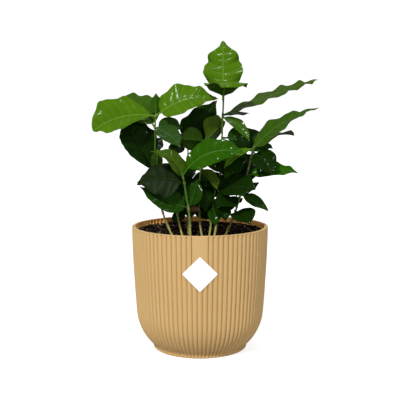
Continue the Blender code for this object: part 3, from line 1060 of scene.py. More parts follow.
SEEDLINGS = (
    Seedling("left", (-29, -8), (-51, -6, 160), (-45, -5, 243), 2.2, (
        Tuft("lower", 168, (
            Leaf(180, 168, 66, 18, 60, 40, Tone.DEEP, roll=-46, fold=20, peak=0.6),
            Leaf(180, -75, 84, -8, 26, 13, Tone.SOFT, stalk=4),
            Leaf(200, 110, 42, 50, 48, 28, Tone.DEEP, far=True),
        )),
        Tuft("upper", 216, (
            Leaf(241, 184, 12, 51, 63, 42, Tone.YOUNG, roll=-50, fold=24, stalk=5, peak=0.58),
            Leaf(241, -6, 42, 54, 62, 38, Tone.YOUNG, roll=52, stalk=7, peak=0.3),
            Leaf(242, -100, 88, 0, 21, 13, Tone.FRESH, fold=45, stalk=2),
            Leaf(229, 142, 50, 40, 58, 37, Tone.SOFT, roll=-30),
            Leaf(229, -45, -5, 44, 38, 22, Tone.GLAUCOUS, roll=30, stalk=4),
            Leaf(229, 12, 20, 40, 26, 20, Tone.GLAUCOUS, roll=50, stalk=4),
        )),
    )),
    Seedling("near_left", (-18, -12), (-28, -8, 150), (-22, 10, 181), 2.0, (
        Tuft("crown", 146, (
            Leaf(175, 170, 5, 20, 39, 29, Tone.DEEP, roll=-35),
            Leaf(176, 85, 15, 50, 56, 34, Tone.DEEP, far=True),
            Leaf(158, 80, 10, 80, 44, 30, Tone.DEEP, far=True),
        )),
    )),
    Seedling("front", (-10, -18), (-10, -20, 150), (-18, -30, 184), 2.5, (
        Tuft("lower", 142, (
            Leaf(149, 180, 14, -20, 50, 27, Tone.MATURE, roll=-56, fold=20, stalk=4, peak=0.34),
            Leaf(148, 20, 72, -8, 28, 20, Tone.MATURE, roll=50, stalk=4),
            Leaf(146, -25, 30, 60, 12, 7, Tone.DRY, roll=50, stalk=2),
        )),
        Tuft("upper", 168, (
            Leaf(182, -8, 60, 80, 62, 28, Tone.FRESH, roll=62, stalk=10, peak=0.38),
            Leaf(180, 188, 78, 78, 42, 23, Tone.OLIVE, roll=-45, fold=16, stalk=3, peak=0.26),
            Leaf(174, 172, 24, 52, 46, 38, Tone.DEEP, roll=122, fold=6, stalk=4, peak=0.34),
        )),
    )),
    Seedling("slender", (-12.5, -2), (-13, 5, 160), (-13, 18, 214), 1.9, (
        Tuft("lower", 132, (
            Leaf(140, 190, -10, 40, 16, 15, Tone.DEEP, roll=-40, stalk=3),
            Leaf(148, -65, -5, 60, 18, 16, Tone.DEEP, stalk=3),
            Leaf(146, 4, 4, 24, 38, 24, Tone.DEEP, roll=84, stalk=4),
            Leaf(172, 10, 0, 24, 46, 30, Tone.DEEP, roll=80, stalk=4),
            Leaf(164, 85, 10, 90, 46, 32, Tone.DEEP, far=True),
        )),
        Tuft("upper", 198, (
            Leaf(209, 190, 5, 40, 19, 22, Tone.MATURE, roll=-40, stalk=3),
            Leaf(212, 12, 58, 6, 53, 37, Tone.DEEP, roll=60, stalk=3, peak=0.3),
            Leaf(212, 75, 25, 60, 62, 36, Tone.MATURE, far=True),
        )),
    )),
    Seedling("middle", (2, -8), (-6, -2, 165), (6, -4, 218), 2.0, (
        Tuft("lower", 154, (
            Leaf(188, -50, -14, 50, 30, 17, Tone.OLIVE, stalk=4),
            Leaf(186, 178, 10, 50, 20, 20, Tone.DEEP, roll=-40, stalk=4),
            Leaf(174, -65, -25, 60, 28, 20, Tone.DEEP),
            Leaf(160, -110, -20, 70, 22, 18, Tone.DEEP, stalk=4),
            Leaf(172, 165, 0, 40, 26, 22, Tone.DEEP, roll=-60, stalk=4),
        )),
        Tuft("upper", 200, (
            Leaf(216, 185, 8, 10, 25, 26, Tone.MATURE, roll=70, stalk=3),
            Leaf(216, 25, 46, 20, 30, 38, Tone.OLIVE, roll=-65, stalk=3),
            Leaf(205, -8, -32, 30, 29, 20, Tone.DEEP, roll=60, stalk=3),
            Leaf(209, 80, 12, 42, 62, 36, Tone.MATURE, far=True),
        )),
    )),
    Seedling("short", (9.5, -10), (12, -10, 140), (16, -6, 172), 2.0, (
        Tuft("crown", 142, (
            Leaf(148, -82, -5, 85, 20, 14, Tone.MATURE),
            Leaf(154, -60, 0, 75, 26, 20, Tone.DEEP),
            Leaf(168, -33, 12, 22, 44, 30, Tone.DEEP, roll=45, stalk=4, peak=0.5),
        )),
    )),
    Seedling("tall", (15, -5), (22, 0, 160), (24, 6, 262), 2.4, (
        Tuft("lower", 168, (
            Leaf(200, 75, 5, 80, 60, 36, Tone.DEEP, far=True),
            Leaf(184, 145, 10, 70, 44, 30, Tone.DEEP, far=True),
            Leaf(189, -40, -25, 25, 34, 12, Tone.FRESH, roll=35, stalk=2),
            Leaf(180, -95, -35, 45, 20, 15, Tone.DEEP, stalk=3),
        )),
        Tuft("middle", 216, (
            Leaf(242, -4, 25, 9, 96, 29, Tone.OLIVE, roll=20, fold=2, stalk=8, wave=1.3, puff=0.4),
            Leaf(240, -42, -8, 52, 42, 12, Tone.SOFT, roll=38, stalk=2, peak=0.46),
            Leaf(219, 20, 0, 24, 54, 34, Tone.MATURE, roll=50),
            Leaf(242, 20, 9, 10, 24, 15, Tone.MATURE, roll=12, fold=4),
        )),
        Tuft("top", 250, (
            Leaf(261, 90, 75, -5, 56, 40, Tone.YOUNG, roll=-10, fold=-4, stalk=4, peak=0.43,
                 wave=1.5),
            Leaf(258, -86, 66, 106, 51, 43, Tone.YOUNG, fold=-10, stalk=4, peak=0.6, wave=1.2),
        )),
    )),
    Seedling("right", (26, -8), (42, -9, 152), (54.5, -10, 209.5), 2.2, (
        Tuft("lower", 129, (
            Leaf(144, -55, 0, 50, 24, 26, Tone.DEEP, roll=20, stalk=3),
            Leaf(153, 208, 24, 60, 27, 24, Tone.DEEP, roll=-30),
            Leaf(161, -14, -20, 20, 30, 17, Tone.MATURE, roll=30, stalk=3),
            Leaf(160, 188, -15, 30, 20, 16, Tone.DEEP, roll=-30, stalk=3),
            Leaf(148, 115, 15, 60, 40, 26, Tone.DEEP, far=True),
        )),
        Tuft("middle", 164, (
            Leaf(180, -5, 24, 40, 48, 21, Tone.FRESH, roll=40, wave=1.4),
            Leaf(170, 100, 10, 60, 46, 30, Tone.DEEP, far=True),
        )),
        Tuft("upper", 190, (
            Leaf(208, -5, 52, 40, 76, 27, Tone.SOFT, roll=42, twist=-28, fold=4, stalk=4,
                 peak=0.34, wave=1.2),
            Leaf(208, 206, 0, 60, 36, 13, Tone.YOUNG, roll=-25, stalk=4),
            Leaf(206, -60, 10, 10, 9, 6, Tone.FRESH, stalk=3),
            Leaf(205, -40, -20, 45, 30, 28, Tone.DEEP, roll=30, stalk=4),
            Leaf(198.5, 172, 6, 36, 31, 36, Tone.DEEP, roll=-70, stalk=4),
            Leaf(194, 90, -12, 55, 38, 26, Tone.DEEP, stalk=4),
            Leaf(203, 105, -15, 50, 34, 26, Tone.DEEP, stalk=3),
            Leaf(206, 60, 20, 55, 60, 34, Tone.MATURE, far=True),
        )),
    )),
)


@dataclass
class Midrib:
    """The line that a leaf follows from the stem to its tip, with its directions."""

    leaf: Leaf
    base: Vector
    steps: int = 60

    def __post_init__(self) -> None:
        """Walk along the leaf and keep each place, side and normal."""
        leaf = self.leaf
        azimuth = math.radians(leaf.azimuth)
        flat = np.array([math.cos(azimuth), math.sin(azimuth), 0.0])
        aside = np.array([math.sin(azimuth), -math.cos(azimuth), 0.0])
        place = np.array(self.base)
        rows = []
        for i in range(self.steps + 1):
            slope = math.radians(leaf.rise - leaf.droop * i / self.steps)
            roll = math.radians(leaf.roll + leaf.twist * i / self.steps)
            forward = flat * math.cos(slope) + np.array([0.0, 0.0, math.sin(slope)])
            upward = np.cross(aside, forward)
            side = aside * math.cos(roll) - upward * math.sin(roll)
            normal = upward * math.cos(roll) + aside * math.sin(roll)
            rows.append(np.concatenate([place, side, normal]))
            place = place + forward * self.total / self.steps
        self.rows = np.array(rows)

    @property
    def total(self) -> float:
        """Length of stalk and blade."""
        return self.leaf.stalk + self.leaf.length

    def at(self, stations: np.ndarray) -> tuple[np.ndarray, np.ndarray, np.ndarray]:
        """Places between the kept ones.

        Args:
            stations: Distances from the stem, of any shape.

        Returns:
            The places, sides and normals, each with a last axis of three.
        """
        knots = np.linspace(0, self.total, self.steps + 1)
        values = np.stack([np.interp(stations, knots, self.rows[:, i]) for i in range(9)], -1)
        place, side, normal = values[..., :3], values[..., 3:6], values[..., 6:]
        side = side / np.linalg.norm(side, axis=-1, keepdims=True)
        return place, side, normal / np.linalg.norm(normal, axis=-1, keepdims=True)


@dataclass
class Blade:
    """The shape of a leaf: coarse, as its solid, and fine, as it is seen."""

    leaf: Leaf
    midrib: Midrib
    lens_power: float = 1.54
    drip_start: float = 0.78
    drip_span: float = 0.17
    drip_share: float = 0.35
    tip_width: float = 1.0
    start: float = 0.04
    spans: int = 7
    stalk_width: float = 2.4
    stalk_thickness: float = 1.7
    solid_share: float = 0.011
    least_solid: float = 0.5
    thickness: float = 0.36
    vein_pitch: float = 7.4
    least_veins: int = 3
    most_veins: int = 13
    vein_sweep: float = 0.46
    vein_half: float = 0.022
    vein_breadth: float = 0.05
    wave_spans: tuple[float, float] = (17.0, 24.0)
    scallop_share: float = 0.036
    notch_share: float = 0.012
    cushion_height: float = 0.65
    cushion_width: float = 36.0
    margin_share: float = 0.04
    warp_share: float = 0.02
    ridge_height: float = 0.16
    rib_sides: int = 10
    columns: tuple[float, ...] = (
        0.0, 0.07, 0.17, 0.28, 0.39, 0.5, 0.6, 0.7, 0.79, 0.87, 0.94, 1.0)
    row_shares: tuple[float, ...] = (0.022, 0.08, 0.18, 0.33, 0.5, 0.67, 0.82, 0.92, 0.978)

    def half_width(self, s: np.ndarray) -> np.ndarray:
        """Half of the blade's width.

        Args:
            s: Shares along the blade, from 0 at the stalk to 1 at the drawn-out tip.

        Returns:
            Half of the width at each.
        """
        peak = self.leaf.peak
        a, b = self.lens_power * peak, self.lens_power * (1 - peak)
        s = np.clip(s, 0.0, 1.0)
        full = s**a * (1 - s) ** b / (peak**a * (1 - peak) ** b)
        full = full * (1 - self.drip_share * smooth((s - self.drip_start) / self.drip_span))
        return np.maximum(full * self.leaf.width / 2, self.tip_width / 2)

    def solid(
        self, spread: float, blade_only: bool = False
    ) -> tuple[np.ndarray, list[list[int]]]:
        """The closed six-sided strip that keeps this leaf's room.

        Args:
            spread: How far the strip stands out beyond its true surface.
            blade_only: Whether to leave the stalk out.

        Returns:
            Its points and its faces.
        """
        leaf = self.leaf
        stations = [] if blade_only else [0.0]
        stations.append(leaf.stalk + self.start * leaf.length)
        stations += [leaf.stalk + leaf.length * i / self.spans for i in range(1, self.spans + 1)]
        knots = np.round(np.array(stations) / self.midrib.total * self.midrib.steps).astype(int)
        place, side, normal = np.split(self.midrib.rows[knots], 3, axis=1)
        s = (np.array(stations) - leaf.stalk) / leaf.length
        in_stalk = s < 2 * self.start
        half = np.where(in_stalk, self.stalk_width / 2, self.half_width(s))[:, None]
        blade = max(self.solid_share * leaf.length, self.least_solid)
        thick = np.where(in_stalk, self.stalk_thickness, blade)[:, None]
        lift = math.tan(math.radians(leaf.fold))
        rise = normal * np.where(in_stalk[:, None], 0.0, half * lift)
        up, edge = normal * (thick / 2 + spread), side * (half + spread)
        left, right = place - edge + rise, place + edge + rise
        ring = [left + up, place + up, right + up, right - up, place - up, left - up]
        points = np.stack(ring, axis=1).reshape(-1, 3)
        faces = grid_faces(len(stations), 6, wrap=True).tolist()
        last = (len(stations) - 1) * 6
        return points, faces + [[5, 4, 3, 2, 1, 0], [last + i for i in range(6)]]

    def rows(self) -> tuple[np.ndarray, np.ndarray]:
        """Where the fine rows cross the midrib.

        Returns:
            The shares along the blade and, for each, its place between two side veins.
        """
        fitting = round(self.leaf.length / self.vein_pitch)
        veins = max(self.least_veins, min(self.most_veins, fitting))
        phases = [0.0]
        for i in range(veins):
            phases += [i + share for share in self.row_shares]
        phases.append(float(veins))
        phase = np.array(phases)
        return phase / veins, phase

    def sheet(self, seed: int) -> tuple[np.ndarray, np.ndarray, np.ndarray]:
        """The fine blade's upper and lower surface.

        Args:
            seed: What makes this leaf's waves its own.

        Returns:
            Points of the two surfaces as rows by columns by three, and the rows' phases.
        """
        rng = np.random.default_rng(seed)
        leaf = self.leaf
        along, phase = self.rows()
        share = np.array(self.columns)
        across = np.concatenate([-share[::-1], [0.0], share])
        signed = np.concatenate([-np.ones(len(share)), [0.0], np.ones(len(share))])
        r, u = np.meshgrid(along, np.abs(across), indexing="ij")
        sign = np.broadcast_to(signed, r.shape)
        # The side veins sweep on towards the tip, and the rows follow them.
        s = r + self.vein_sweep * u**1.25 * r * (1 - r)
        # Each half of the blade waves in its own step.
        shift = np.where(sign > 0, *rng.uniform(0, 2 * math.pi, 2))
        count = leaf.length / rng.uniform(*self.wave_spans)
        ends = smooth(r / 0.12) * smooth((1 - r) / 0.14)
        swing = np.sin(2 * math.pi * count * r + shift)
        swing = swing + 0.35 * np.sin(3.6 * math.pi * count * r - shift)
        full = self.half_width(s)
        scallop = 1 + ends * (self.scallop_share * leaf.wave * swing
                              - self.notch_share * np.cos(2 * math.pi * phase[:, None]))
        taper = np.where(s > 0.985, 0.5, 1.0)
        rib = np.minimum(0.28 + 0.5 * (1 - s), 0.45 * full)
        x = sign * (rib + (full * scallop * taper - rib) * u)
        lift = math.tan(math.radians(leaf.fold)) * full * (1.2 * u - 0.32 * u * u)
        size = min(1.0, leaf.width / self.cushion_width)
        pillow = np.abs(np.sin(math.pi * phase))[:, None] ** 0.62
        cushion = self.cushion_height * leaf.puff * size * pillow
        cushion = cushion * np.sin(math.pi * u**0.8) ** 0.7 * ends
        margin = self.margin_share * leaf.width * leaf.wave * u**2.4 * swing * ends
        twist = np.sin(2 * math.pi * (0.8 * r + 0.3 * sign * u) + shift)
        warp = self.warp_share * leaf.width * twist
        height = lift + cushion + margin + warp * ends * u
        place, side, normal = self.midrib.at(leaf.stalk + s * leaf.length)
        middle = place + side * x[..., None] + normal * height[..., None]
        off_vein = np.abs((phase + 0.5) % 1 - 0.5)
        vein = np.exp(-((off_vein / self.vein_breadth) ** 2))[:, None]
        ridge = self.ridge_height * vein * (1 - u) * ends
        # The blade thins to half by its margin.
        half = self.thickness / 2 * (1 - 0.5 * u)
        upper = middle + normal * half[..., None]
        lower = middle - normal * (half + ridge)[..., None]
        return upper, lower, phase

    def add_to(self, shell: Shell, seed: int, first: int) -> None:
        """Add the fine blade to a shell.

        Args:
            shell: The shell that gathers the leaves.
            seed: What makes this leaf's waves its own.
            first: The number of the upper side's material; the underside and veins follow.
        """
        upper, lower, phase = self.sheet(seed)
        rows, columns = upper.shape[:2]
        faces = grid_faces(rows, columns)
        row, column = faces[:, 0] // columns, faces[:, 0] % columns
        middle = (phase[row] + phase[row + 1]) / 2
        on_vein = np.abs((middle + 0.5) % 1 - 0.5) < self.vein_half
        on_rib = np.abs(column - (columns - 2) / 2) < 1
        skin = np.where(on_vein | on_rib, first + 2, first)
        below = np.where(on_vein | on_rib, first + 2, first + 1)
        n = rows * columns
        top = np.arange(columns)
        right = np.arange(1, rows) * columns + columns - 1
        bottom = (rows - 1) * columns + np.arange(columns - 2, -1, -1)
        left = np.arange(rows - 2, 0, -1) * columns
        loop = np.concatenate([top, right, bottom, left])
        after = np.roll(loop, -1)
        rim = np.stack([loop, after, after + n, loop + n], 1)
        points = np.concatenate([upper.reshape(-1, 3), lower.reshape(-1, 3)])
        every = np.concatenate([faces, faces[:, ::-1] + n, rim])
        shell.add(points, every, np.concatenate([skin, below, np.full(len(rim), first + 2)]))

    def rib_to(self, shell: Shell, finish: int) -> None:
        """Add the stalk that runs on as the midrib under the blade.

        Args:
            shell: The shell that gathers the stalks.
            finish: The number of its material.
        """
        leaf = self.leaf
        stations = np.concatenate([
            np.linspace(0, leaf.stalk, 8)[:-1],
            leaf.stalk + leaf.length * np.linspace(0, 0.96, 40),
        ])
        s = np.clip((stations - leaf.stalk) / leaf.length, 0, 1)
        slim = min(1.0, 0.55 + leaf.length / 110)
        radius = slim * np.where(s > 0, 0.82 * (1 - s) ** 0.8 + 0.16, 0.95)
        radius = radius * (1 + 0.5 * np.exp(-stations / 1.2))
        place, side, normal = self.midrib.at(stations)
        sink = radius * 0.92 * smooth(s / 0.08)
        angle = circle(self.rib_sides)
        cos, sin = np.cos(angle)[None, :, None], np.sin(angle)[None, :, None]
        out = side[:, None] * cos + normal[:, None] * sin
        rings = (place - normal * sink[:, None])[:, None] + out * radius[:, None, None]
        shell.tube(rings, finish)


@dataclass
class Thicket:
    """Everything that has grown so far, so that a new leaf can keep clear of it."""

    pot: Pot
    room: float = 0.5
    pot_room: float = 1.5
    nudges: tuple[int, ...] = (0, 4, 8, 12, 16, 20, 24)
    ways: tuple[tuple[int, int], ...] = (
        (1, 0), (-1, 0), (0, 1), (0, -1), (1, 1), (-1, 1), (1, -1), (-1, -1))
    stem_sides: int = 8
    stem_station: float = 9.0
    grown: list[tuple[tuple[str, str], BVHTree, BVHTree | None]] = field(default_factory=list)

    @staticmethod
    def tree(solid: tuple[np.ndarray, list[list[int]]]) -> BVHTree:
        """A search tree over a solid's faces."""
        points, faces = solid
        return BVHTree.FromPolygons(points.tolist(), faces)

    def stretches(self, seedling: Seedling) -> list[tuple[str, float, float]]:
        """The stretches of a stem.

        Args:
            seedling: The seedling.

        Returns:
            For each stretch its name and the shares where it starts and ends.
        """
        cuts = [seedling.share(tuft.start, self.pot) for tuft in seedling.tufts]
        cuts = [0.0] + cuts + [1.0]
        trim = GAP / (seedling.tip[2] - self.pot.soil_height(0))
        names = ["stem"] + [tuft.name for tuft in seedling.tufts]
        ends = [cut - trim for cut in cuts[1:-1]] + [1.0]
        return list(zip(names, cuts[:-1], ends))

    def stem_solid(
        self, seedling: Seedling, start: float, end: float
    ) -> tuple[np.ndarray, list[list[int]]]:
        """A stretch of stem as the solid that leaves keep clear of.

        Args:
            seedling: The seedling.
            start: The share where the stretch starts.
            end: The share where it ends.

        Returns:
            Its points and its faces.
        """
        pot = self.pot
        length = (seedling.point(end, pot) - seedling.point(start, pot)).length
        spans = max(2, round(length / self.stem_station))
        points = []
        for i in range(spans + 1):
            t = start + (end - start) * i / spans
            across, along = seedling.sides_at(t, pot)
            # The foot is cut level.
            if t == 0.0:
                across, along = Vector((-1, 0, 0)), Vector((0, -1, 0))
            for j in range(self.stem_sides):
                angle = 2 * math.pi * j / self.stem_sides
                outward = math.cos(angle) * across + math.sin(angle) * along
                reach = seedling.radius(t, pot) + self.room
                points.append(seedling.point(t, pot) + reach * outward)
        last = spans * self.stem_sides
        faces = grid_faces(spans + 1, self.stem_sides, wrap=True).tolist()
        faces.append(list(range(self.stem_sides))[::-1])
        faces.append([last + j for j in range(self.stem_sides)])
        return np.array([p[:] for p in points]), faces

    def above_pot(self, points: np.ndarray) -> bool:
        """Whether a leaf clears the compost and, further out, the rim.

        Args:
            points: The leaf's places, one a row.

        Returns:
            True if all of them are clear.
        """
        for x, y, z in points:
            radius = math.hypot(x, y)
            if radius > self.pot.rim_radius + self.pot_room:
                continue
            over_soil = radius < self.pot.inner_radius(self.pot.soil_edge) - self.pot_room
            floor = self.pot.soil_height(radius) if over_soil else self.pot.height
            if z <= floor + self.pot_room:
                return False
        return True

    def fits(self, owner: tuple[str, str], leaf: Leaf, base: Vector) -> bool:
        """Keep a leaf if it has room.

        Args:
            owner: The seedling and the stretch that it grows on.
            leaf: The leaf.
            base: Where its stalk leaves the stem.

        Returns:
            Whether it was clear of everything and is kept.
        """
        blade = Blade(leaf, Midrib(leaf, base))
        alone = blade.solid(self.room, blade_only=True)
        if not self.above_pot(alone[0]):
            return False
        part, whole = self.tree(alone), self.tree(blade.solid(self.room))
        for other, other_whole, other_blade in self.grown:
            if other != owner and whole.overlap(other_whole):
                return False
            if other == owner and other_blade and part.overlap(other_blade):
                return False
        self.grown.append((owner, whole, part))
        return True

    def settle(self, owner: tuple[str, str], leaf: Leaf, base: Vector) -> Leaf | None:
        """Turn a leaf as little as it needs.

        Args:
            owner: The seedling and the stretch that it grows on.
            leaf: The leaf as drawn.
            base: Where its stalk leaves the stem.

        Returns:
            The leaf as it fits, or None if nothing is clear.
        """
        for nudge in self.nudges:
            for turn, tilt in self.ways:
                moved = replace(leaf, azimuth=leaf.azimuth + turn * nudge,
                                rise=leaf.rise + tilt * nudge)
                if self.fits(owner, moved, base):
                    return moved
        return None

    def grow(self, seedlings: tuple[Seedling, ...]) -> dict[str, list[tuple[Leaf, Vector]]]:
        """Settle every leaf of every seedling.

        Args:
            seedlings: The seedlings, in the order that they grow.

        Returns:
            For each seedling its settled leaves with their places on the stem.
        """
        for seedling in seedlings:
            for name, start, end in self.stretches(seedling):
                solid = self.stem_solid(seedling, start, end)
                self.grown.append(((seedling.name, name), self.tree(solid), None))
        places = [(s, tuft, leaf) for s in seedlings for tuft in s.tufts for leaf in tuft.leaves]
        settled: dict[str, list[tuple[Leaf, Vector]]] = {s.name: [] for s in seedlings}
        for seedling, tuft, leaf in sorted(places, key=lambda item: item[2].far):
            base = seedling.point(seedling.share(leaf.height, self.pot), self.pot)
            fitted = self.settle((seedling.name, tuft.name), leaf, base)
            if fitted is None:
                LOG.warning("no room for a leaf on %s at %s", seedling.name, leaf.height)
            else:
                settled[seedling.name].append((fitted, base))
        return settled


@dataclass
class Stem:
    """A seedling's stem with its relief, its twigs and its leaves."""

    seedling: Seedling
    pot: Pot
    leaves: list[tuple[Leaf, Vector]]
    seed: int
    sides: int = 18
    row_step: float = 0.8
    node_gap: float = 21.0
    node_height: float = 1.5
    node_swell: float = 0.14
    scar_depth: float = 0.1
    scar_rise: float = 1.7
    scar_height: float = 0.5
    sway: float = 0.25
    bud_length: float = 5.0
    bud_sides: int = 12
    scale_length: float = 2.9
    scale_sides: int = 8
    straw_share: float = 0.5
    straw_blur: float = 0.12
    olive_share: float = 0.25

    def nodes(self) -> list[float]:
        """Find the swollen rings, where leaves sit now or once sat.

        Returns:
            The rings' heights above the table.
        """
        low = self.seedling.root(self.pot).z
        carried = sorted({leaf.height for leaf, _ in self.leaves})
        first = min(carried + [self.seedling.tip[2]])
        bare = np.arange(first - self.node_gap * 0.8, low + 6, -self.node_gap)
        return list(bare) + carried

    def surface(self, start: float, end: float) -> np.ndarray:
        """The stem's skin between two shares.

        Args:
            start: The share where it starts.
            end: The share where it ends.

        Returns:
            Rings of places, as rows by sides by three.
        """
        rng = np.random.default_rng(self.seed)
        length = (self.seedling.point(end, self.pot) - self.seedling.point(start, self.pot)).length
        rows = max(6, round(length / self.row_step))
        angle = circle(self.sides)
        nodes = np.array(self.nodes())
        phases = rng.uniform(0, 2 * math.pi, 6)
        rings = []
        for t in np.linspace(start, end, rows + 1).tolist():
            centre = np.array(self.seedling.point(t, self.pot))
            across, along = map(np.array, self.seedling.sides_at(t, self.pot))
            z = centre[2]
            rise = z - self.seedling.root(self.pot).z
            swell = self.node_swell * np.exp(-(((z - nodes) / self.node_height) ** 2)).sum()
            past_scar = (z - nodes - self.scar_rise) / self.scar_height
            scar = self.scar_depth * np.exp(-(past_scar**2)).sum()
            # Furrows run along the stem, lumps lie across it and ridges carry its foot.
            furrow = 0.03 * np.sin(5 * angle + phases[0] + z / 9)
            furrow = furrow + 0.02 * np.sin(11 * angle + phases[1] - z / 5)
            lump = 0.03 * np.sin(z / 2.3 + phases[2]) + 0.02 * np.sin(z / 0.9 + phases[3] + angle)
            buttress = 0.08 * math.exp(-rise / 3.0) * np.cos(4 * angle + phases[5])
            radius = self.seedling.radius(t, self.pot)
            reach = radius * (1 + swell - scar + furrow + lump + buttress)
            lean = across * math.sin(z / 7 + phases[4]) + along * math.cos(z / 8)
            centre = centre + self.sway * smooth(rise / 8) * lean
            out = np.cos(angle)[:, None] * across + np.sin(angle)[:, None] * along
            rings.append(centre + reach[:, None] * out)
        return np.array(rings)

    def bud(self, shell: Shell, finish: int) -> None:
        """Add the pointed bud at the tip of the stem.

        Args:
            shell: The shell that it goes into.
            finish: The number of its material.
        """
        tip = np.array(self.seedling.point(1.0, self.pot))
        heading = np.array(self.seedling.heading(1.0, self.pot))
        across, along = map(np.array, self.seedling.sides_at(1.0, self.pot))
        reach = self.seedling.radius(1.0, self.pot)
        angle = circle(self.bud_sides)
        cos, sin = np.cos(angle)[:, None], np.sin(angle)[:, None]
        rings = []
        for share in np.linspace(0, 1, 12):
            radius = reach * (1.15 * math.cos(share * math.pi / 2) ** 0.7 + 0.05)
            flat = 1 - 0.35 * share
            spread = radius * (cos * across * flat + sin * along)
            rings.append(tip + heading * (self.bud_length * share - 0.6) + spread)
        shell.tube(np.array(rings), finish)

    def scales(self, shell: Shell, finish: int) -> None:
        """Add the pair of small pointed scales that sits between the leaves of a node.

        Args:
            shell: The shell that they go into.
            finish: The number of their material.
        """
        rng = np.random.default_rng(self.seed + 7)
        angle = circle(self.scale_sides)
        cos, sin = np.cos(angle)[:, None], np.sin(angle)[:, None]
        for height in self.nodes():
            t = self.seedling.share(height, self.pot)
            centre = np.array(self.seedling.point(t, self.pot))
            radius = self.seedling.radius(t, self.pot) * (1 + self.node_swell)
            start = rng.uniform(0, math.pi)
            for turn in (start, start + math.pi):
                out = np.array([math.cos(turn), math.sin(turn), 0.0])
                aside = np.array([-out[1], out[0], 0.0])
                rings = []
                for share in np.linspace(0, 1, 7):
                    wide = 1.1 * radius * (1 - share) ** 0.8 + 0.05
                    deep = 0.28 * (1 - 0.6 * share)
                    middle = centre + out * (radius * 0.9 + 0.25 * share)
                    middle = middle + (0, 0, self.scale_length * share - 0.3)
                    rings.append(middle + wide * cos * aside + deep * sin * out)
                shell.tube(np.array(rings), finish)

    def build(self, palette: Palette) -> None:
        """Build the stem, its twigs and its leaves in place of their solids.

        Args:
            palette: The finishes.
        """
        name = self.seedling.name
        cut = self.seedling.share(self.seedling.tufts[0].start, self.pot)
        straw = palette.keep("young_bark_straw", YoungBark("B8B060", "94904A"))
        olive = palette.keep("young_bark_olive", YoungBark("7C8440", "5E6A2C"))
        green = palette.keep("young_bark_green", YoungBark("4E7420", "3A5818", roughness=0.4))
        trunk = Shell()
        rings = self.surface(0.0, cut)
        # The corky straw gives way to green face by face, with no clean line.
        share = np.repeat(np.linspace(0, 1, len(rings) - 1), self.sides)
        rng = np.random.default_rng(self.seed)
        blur = rng.uniform(-self.straw_blur, self.straw_blur, len(share))
        trunk.tube(rings, np.where(share + blur > self.straw_share, 1, 0))
        place_piece(trunk.build(f"stem_of_{name}", [straw, olive]), [f"stem_{name}"])
        twigs, blades = Shell(), Shell()
        rings = self.surface(cut, 1.0)
        skin_face = np.arange((len(rings) - 1) * self.sides)
        low_faces = self.olive_share * len(rings) * self.sides
        twigs.tube(rings, np.where(skin_face < low_faces, 1, 0))
        self.bud(twigs, 0)
        self.scales(twigs, 1)
        tones = []
        for i, (leaf, base) in enumerate(self.leaves):
            if leaf.tone not in tones:
                tones.append(leaf.tone)
            blade = Blade(leaf, Midrib(leaf, base))
            blade.add_to(blades, self.seed * 100 + i, 3 * tones.index(leaf.tone))
            blade.rib_to(twigs, 2 + tones.index(leaf.tone))
        skins = [skin for tone in tones for skin in palette.leaf(tone)]
        masses = [f"foliage_{name}_{tuft.name}" for tuft in self.seedling.tufts]
        place_piece(blades.build(f"leaves_of_{name}", skins), masses)
        ribs = [green, olive] + skins[2::3]
        place_piece(twigs.build(f"twigs_of_{name}", ribs), [])


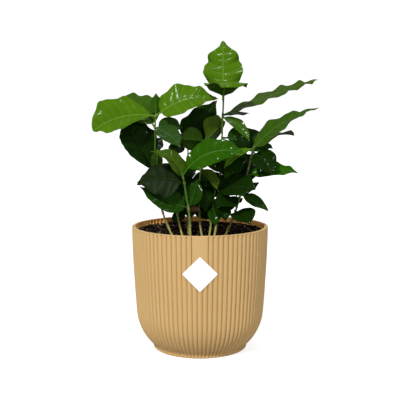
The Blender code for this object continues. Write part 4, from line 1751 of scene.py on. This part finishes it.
@dataclass
class Studio:
    """The pale floor, the soft lights and the camera."""

    distance: float = 0.80
    height: float = 0.2487
    pitch: float = 6.713
    lens: float = 69.64
    sensor: float = 36.0
    floor_size: float = 14.0
    floor_colour: str = "AAAAAA"
    floor_roughness: float = 0.9
    ambient: float = 0.2
    backdrop: float = 1.05
    glow: float = 0.78

    def floor(self) -> None:
        """Lay the floor, with a glow that only the camera sees, as in a cut-out picture."""
        half = self.floor_size / 2
        mesh = bpy.data.meshes.new("studio_floor")
        corners = [(-half, -half, 0), (half, -half, 0), (half, half, 0), (-half, half, 0)]
        mesh.from_pydata(corners, [], [(0, 1, 2, 3)])
        floor = bpy.data.objects.new("studio_floor", mesh)
        bpy.context.scene.collection.objects.link(floor)
        material, shader, _ = start_material("pale_studio_floor")
        tree = material.node_tree
        shader.inputs["Base Color"].default_value = linear(self.floor_colour)
        shader.inputs["Roughness"].default_value = self.floor_roughness
        path = add_node(tree, "ShaderNodeLightPath")
        strength = add_node(tree, "ShaderNodeMath",
                            {"operation": "MULTIPLY", "Value_001": self.glow},
                            {"Value": path.outputs["Is Camera Ray"]})
        tree.links.new(strength.outputs["Value"], shader.inputs["Emission Strength"])
        shader.inputs["Emission Color"].default_value = linear(WHITE)
        mesh.materials.append(material)
        floor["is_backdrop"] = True

    def world(self) -> None:
        """Light everything faintly from all round, and show white to the camera."""
        world = bpy.data.worlds.new("studio_world")
        bpy.context.scene.world = world
        world.use_nodes = True
        tree = world.node_tree
        sky = tree.nodes["Background"]
        sky.inputs["Color"].default_value = linear(WHITE)
        path = add_node(tree, "ShaderNodeLightPath")
        strength = add_node(tree, "ShaderNodeMapRange",
                            {"To Min": self.ambient, "To Max": self.backdrop},
                            {"Value": path.outputs["Is Camera Ray"]})
        tree.links.new(strength.outputs["Result"], sky.inputs["Strength"])

    def light(self, name: str, turn: float, rise: float, spread: float, strength: float,
              glints: bool = True) -> None:
        """Hang one soft light, far enough away to light the floor evenly.

        Args:
            name: The light's name.
            turn: Where it hangs, from 0 behind the camera to 90 on the right.
            rise: How high it stands above the horizon.
            spread: How wide it looks from the plant.
            strength: How strongly it lights a surface that faces it, in W/m2.
            glints: Whether it shows in glossy surfaces.
        """
        lamp = bpy.data.lights.new(name, "SUN")
        lamp.angle = math.radians(spread)
        lamp.energy = strength
        holder = bpy.data.objects.new(name, lamp)
        across, up = math.radians(turn), math.radians(rise)
        towards = Vector((math.sin(across) * math.cos(up), -math.cos(across) * math.cos(up),
                          math.sin(up)))
        holder.rotation_euler = towards.to_track_quat("Z", "Y").to_euler()
        holder.visible_glossy = glints
        bpy.context.scene.collection.objects.link(holder)

    def camera(self) -> None:
        """Set the camera where the photograph was taken from."""
        data = bpy.data.cameras.new("camera")
        data.lens = self.lens
        data.sensor_width = self.sensor
        data.clip_start = 0.01
        camera = bpy.data.objects.new("camera", data)
        camera.location = (0.0, -self.distance, self.height)
        camera.rotation_euler = (math.radians(90 - self.pitch), 0.0, 0.0)
        bpy.context.scene.collection.objects.link(camera)
        bpy.context.scene.camera = camera

    def build(self) -> None:
        """Set up the whole studio."""
        self.camera()
        self.floor()
        self.world()
        self.light("key_from_front_left", -28.0, 42.0, 4.0, 2.5)
        self.light("glint_from_right", 42.0, 46.0, 5.0, 0.35)
        self.light("soft_from_right", 38.0, 16.0, 16.0, 0.62, glints=False)
        self.light("soft_from_left", -80.0, 10.0, 20.0, 0.5, glints=False)
        self.light("soft_from_above", 165.0, 65.0, 16.0, 0.3)
        self.light("low_from_front", 0.0, 9.0, 24.0, 0.35, glints=False)
        self.light("soft_from_behind", 180.0, 20.0, 30.0, 1.4, glints=False)
        bpy.context.scene.view_settings.view_transform = "Standard"


def write_sizes() -> None:
    """Bring the view layer up to date.
    """
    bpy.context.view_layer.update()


def main() -> None:
    """Build the studio, the pot, the compost, the label and the eight seedlings."""
    logging.basicConfig(level=logging.INFO, format="%(message)s")
    cad = tuple(corner.copy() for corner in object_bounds())
    Studio().build()
    palette = Palette()
    pot = Pot()
    pot.build(palette)
    Compost(pot).build(palette)
    Label(pot).build(palette)
    settled = Thicket(pot).grow(SEEDLINGS)
    for number, seedling in enumerate(SEEDLINGS):
        Stem(seedling, pot, settled[seedling.name], SEED + number).build(palette)
    write_sizes()


if __name__ == "__main__":
    main()
